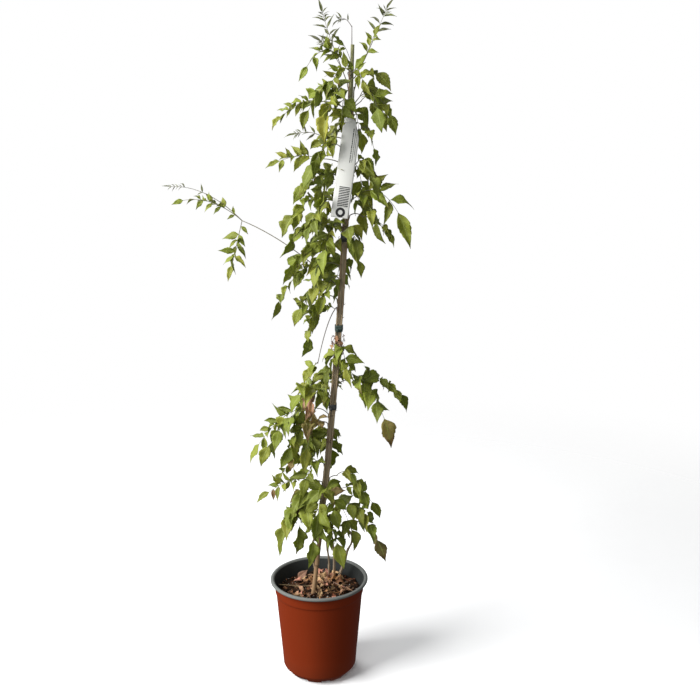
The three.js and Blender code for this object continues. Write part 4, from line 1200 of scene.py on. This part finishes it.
def leaflet_tone(leaflet, share, rng):
    """The colour of a leaflet and how far it has aged, from 0 to 1."""
    middle = leaflet.midrib(0.5)
    for across, height, radius, tint in WITHERED_SPOTS:
        if math.hypot(middle[0] - across, middle[2] - height) < radius and middle[1] < 45:
            return np.array(tint) * rng.uniform(0.85, 1.1), 0.8
    pick = rng.uniform()
    fresh = FRESH * (1 - pick) + DEEP * pick
    if share == YOUNG:
        grey = rng.uniform(0.45, 0.95)
        return fresh * (1 - grey) + PURPLE * grey, 0.0
    yellow = max(0.0, rng.normal(0.12, 0.22))
    if 1160 < middle[2] < 1250 and middle[0] < 40:
        yellow += 0.25
    shade = max(0.0, rng.normal(0.05, 0.25))
    mixed = fresh * (1 - min(yellow, 0.9)) + YELLOWED * min(yellow, 0.9)
    mixed = mixed * (1 - min(shade, 0.6)) + SHADY * min(shade, 0.6)
    return mixed, float(np.clip(rng.normal(0.1, 0.22), 0, 0.75))


def petiole_finish():
    finish = Finish("petiole")
    tone = finish.carried("tone", "Color")
    patches = finish.grain(90, 3.0)
    colour = finish.blend(patches * 0.8, tone, (0.5, 0.42, 0.4), "MULTIPLY")
    return finish.coat(colour, 0.5 + patches * 0.2, finish.grain(1500), 0.0002, 0.6, 0.4)


leaf_skin = leaf_finish("leaf_skin", 0.48, 0.45, (0.42, 0.48, 0.14), (0.36, 0.42, 0.2))
petiole_skin = petiole_finish()
PETIOLE_GREEN = np.array([0.17, 0.185, 0.085])
PETIOLE_PURPLE = np.array([0.13, 0.095, 0.095])


def pair_places(pairs):
    """Where the pairs of leaflets sit along a rib."""
    return np.linspace(FIRST_PAIR, LAST_PAIR, pairs) if pairs > 1 else np.array([LONE_PAIR])


all_ribs = [ribs_of(shoot) for shoot in SHOOTS]
foreign_ribs = []
for own in range(len(SHOOTS)):
    others = [rib for index, ribs in enumerate(all_ribs) if index != own for rib in ribs]
    foreign_ribs.append(np.array([bead for rib in others for bead in rib.beads()]))
grown = [[] for _ in SHOOTS]


def grow(index, rib, t, side, size, share, draw, clearance, slim=1):
    """Adds a leaflet to a shoot at a place along a rib, where there is room for it."""
    leaflet = Leaflet(rib.at(t), rib.slope(t), side, size, share * slim, draw)
    if settled(leaflet, foreign_ribs[index], clearance):
        grown[index].append((leaflet, share))


# The pairs and the end leaflets of all fronds find their places first, from the top shoot down.
for index, shoot in enumerate(SHOOTS):
    draw = draws(index + FIRST_SEED)
    for rib, (*_, pairs, length, share) in zip(all_ribs[index][1:], shoot[6]):
        for t in pair_places(pairs):
            for side in (1, -1):
                grow(index, rib, t, side, length * (1.06 - 0.22 * t), share, draw, LEAF_CLEARANCE)
        grow(index, rib, 1, 0, length * 1.1, share, draw, LEAF_CLEARANCE)
# Smaller leaflets fill the ribs between the pairs where there is room, mostly away from the right,
# and a growing tip ends in a tuft of small narrow ones.
for index, shoot in enumerate(SHOOTS):
    rng = np.random.default_rng(index + 900)
    draw = rng.uniform
    fullness = FULLNESS_RIGHT if "right" in shoot[0] else FULLNESS_LEFT
    for rib, (*_, pairs, length, share) in zip(all_ribs[index][1:], shoot[6]):
        if share == YOUNG:
            for t in TUFT_PLACES:
                for side in (1, -1):
                    size = length * draw(0.4, 0.62)
                    grow(index, rib, t, side, size, share, draw, TUFT_CLEARANCE, slim=0.8)
            continue
        middles = pair_places(pairs)
        between = [middles[0] - 0.18, *((middles[1:] + middles[:-1]) / 2), middles[-1] + 0.12]
        for t in between:
            for side in (1, -1):
                if draw() <= fullness:
                    size = length * draw(0.7, 0.95)
                    grow(index, rib, t, side, size, share, draw, FILLING_CLEARANCE)
# The foot of each shoot bends round the bundle to the nearest stem.
for index, (name, height, compass, *_) in enumerate(SHOOTS):
    stock = Stock()
    rng = np.random.default_rng(index + 500)
    stem, *ribs = all_ribs[index]
    purple = rng.uniform(0.2, 0.9)
    stalk = PETIOLE_GREEN * (1 - purple) + PETIOLE_PURPLE * purple
    near_stems = [bearing for _, bearing, top, _ in VINES if top > height - 12]
    swings = [(bearing - compass + 180) % 360 - 180 for bearing in near_stems]
    swing = min(swings, key=abs, default=0)
    base = [
        cane_at(height - drop) + heading(compass + swing * turn) * VINE_OFFSET
        for drop, turn in [(16, 1), (11, 0.9), (6, 0.55), (2, 0.2)]
    ]
    path = smooth_path([*base, *[stem.at(t) for t in np.linspace(0.04, 1, 8)]], 3)
    thin = 0.45 if name.startswith("tip") else 0.6
    tube(stock, path, np.linspace(1.25, thin + 0.25, len(path)), 8, stalk, finish=1)
    for rib in ribs:
        places = [rib.at(t) for t in np.linspace(0, 1, 22)]
        tube(stock, places, np.linspace(thin + 0.25, thin * 0.7, 22), 7, stalk, finish=1)
    for leaflet, share in grown[index]:
        tone, age = leaflet_tone(leaflet, share, rng)
        if share == YOUNG:
            leaflet.width *= YOUNG_SLIM
        blade(stock, vars(leaflet), rng, tone, age)
        joint = [leaflet.midrib(u) - leaflet.normal * 0.15 for u in (-0.01, 0.03, 0.07, 0.12)]
        tube(stock, joint, [thin * 0.9, thin * 0.75, 0.36, 0.2], 6, stalk, finish=1)
    fronds = stock.piece(f"fronds_{name}", leaf_skin, petiole_skin)
    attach(fronds, "root")
    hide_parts(f"leaves_{name}")


# The studio: a pale floor, a pale dome that only the camera sees, a broad soft light at the left
# in front, a weak one beside the camera and one above and behind, and the camera at the photo's angle.
FLOOR_RADIUS = 3.2


def floor_finish():
    finish = Finish("studio_floor")
    colour = finish.blend(finish.grain(3, 3.0), (0.86, 0.86, 0.86), (0.9, 0.9, 0.9))
    skin = finish.surface(colour, 0.9, finish.raised(finish.grain(40), 0.0005, 0.2), 0.1)
    away = finish.node("VectorMath", {"operation": "LENGTH"}, {0: finish.where()}, output=1)
    fade = finish.between(away, 0.35, FLOOR_RADIUS * 0.8)
    clear = finish.node("BsdfTransparent")
    return finish.done(finish.node("MixShader", {}, {0: fade, 1: skin, 2: clear}))


bpy.ops.mesh.primitive_circle_add(vertices=128, radius=FLOOR_RADIUS, fill_type="NGON")
floor = bpy.context.object
floor.name = "studio_floor"
floor.data.materials.append(floor_finish())
floor.visible_diffuse = False
floor.visible_glossy = False

dome_finish = Finish("studio_dome")
dome_light = dome_finish.node("Emission", {}, {"Color": (1, 1, 1, 1), "Strength": 1.0})
bpy.ops.mesh.primitive_uv_sphere_add(radius=29, segments=64, ring_count=32)
dome = bpy.context.object
dome.name = "studio_dome"
dome.data.materials.append(dome_finish.done(dome_light))
for ray in ("diffuse", "glossy", "transmission", "volume_scatter", "shadow"):
    setattr(dome, "visible_" + ray, False)

world = bpy.data.worlds.new("studio_air")
world.use_nodes = True
world.node_tree.nodes["Background"].inputs["Color"].default_value = (0.95, 0.98, 1, 1)
world.node_tree.nodes["Background"].inputs["Strength"].default_value = 0.3
bpy.context.scene.world = world
bpy.context.scene.view_settings.view_transform = "Standard"


def soft_light(name, place, aim, power, width, height):
    lamp = bpy.data.lights.new(name, "AREA")
    lamp.shape = "RECTANGLE"
    lamp.size, lamp.size_y, lamp.energy = width, height, power
    lamp_stand = bpy.data.objects.new(name, lamp)
    lamp_stand.location = place
    lamp_stand.rotation_euler = (Vector(aim) - Vector(place)).to_track_quat("-Z", "Y").to_euler()
    bpy.context.scene.collection.objects.link(lamp_stand)


soft_light("key_light", (-2.5, -1.25, 2.2), (0, 0, 0.7), 260, 2.2, 2.4)
soft_light("fill_light", (-0.5, -2.9, 1.7), (0, 0, 0.9), 24, 1.8, 1.8)
soft_light("back_light", (-1.0, 1.9, 2.8), (0, 0, 0.9), 50, 1.4, 1.4)

CAMERA_PLACE = (0.0698, -1.888, 1.158)
CAMERA_PITCH = 12.16
camera = bpy.data.objects.new("camera", bpy.data.cameras.new("camera"))
camera.data.sensor_width = 36
camera.data.lens = 46.29
camera.location = CAMERA_PLACE
camera.rotation_euler = (math.radians(90 - CAMERA_PITCH), 0, 0)
bpy.context.scene.collection.objects.link(camera)
bpy.context.scene.camera = camera
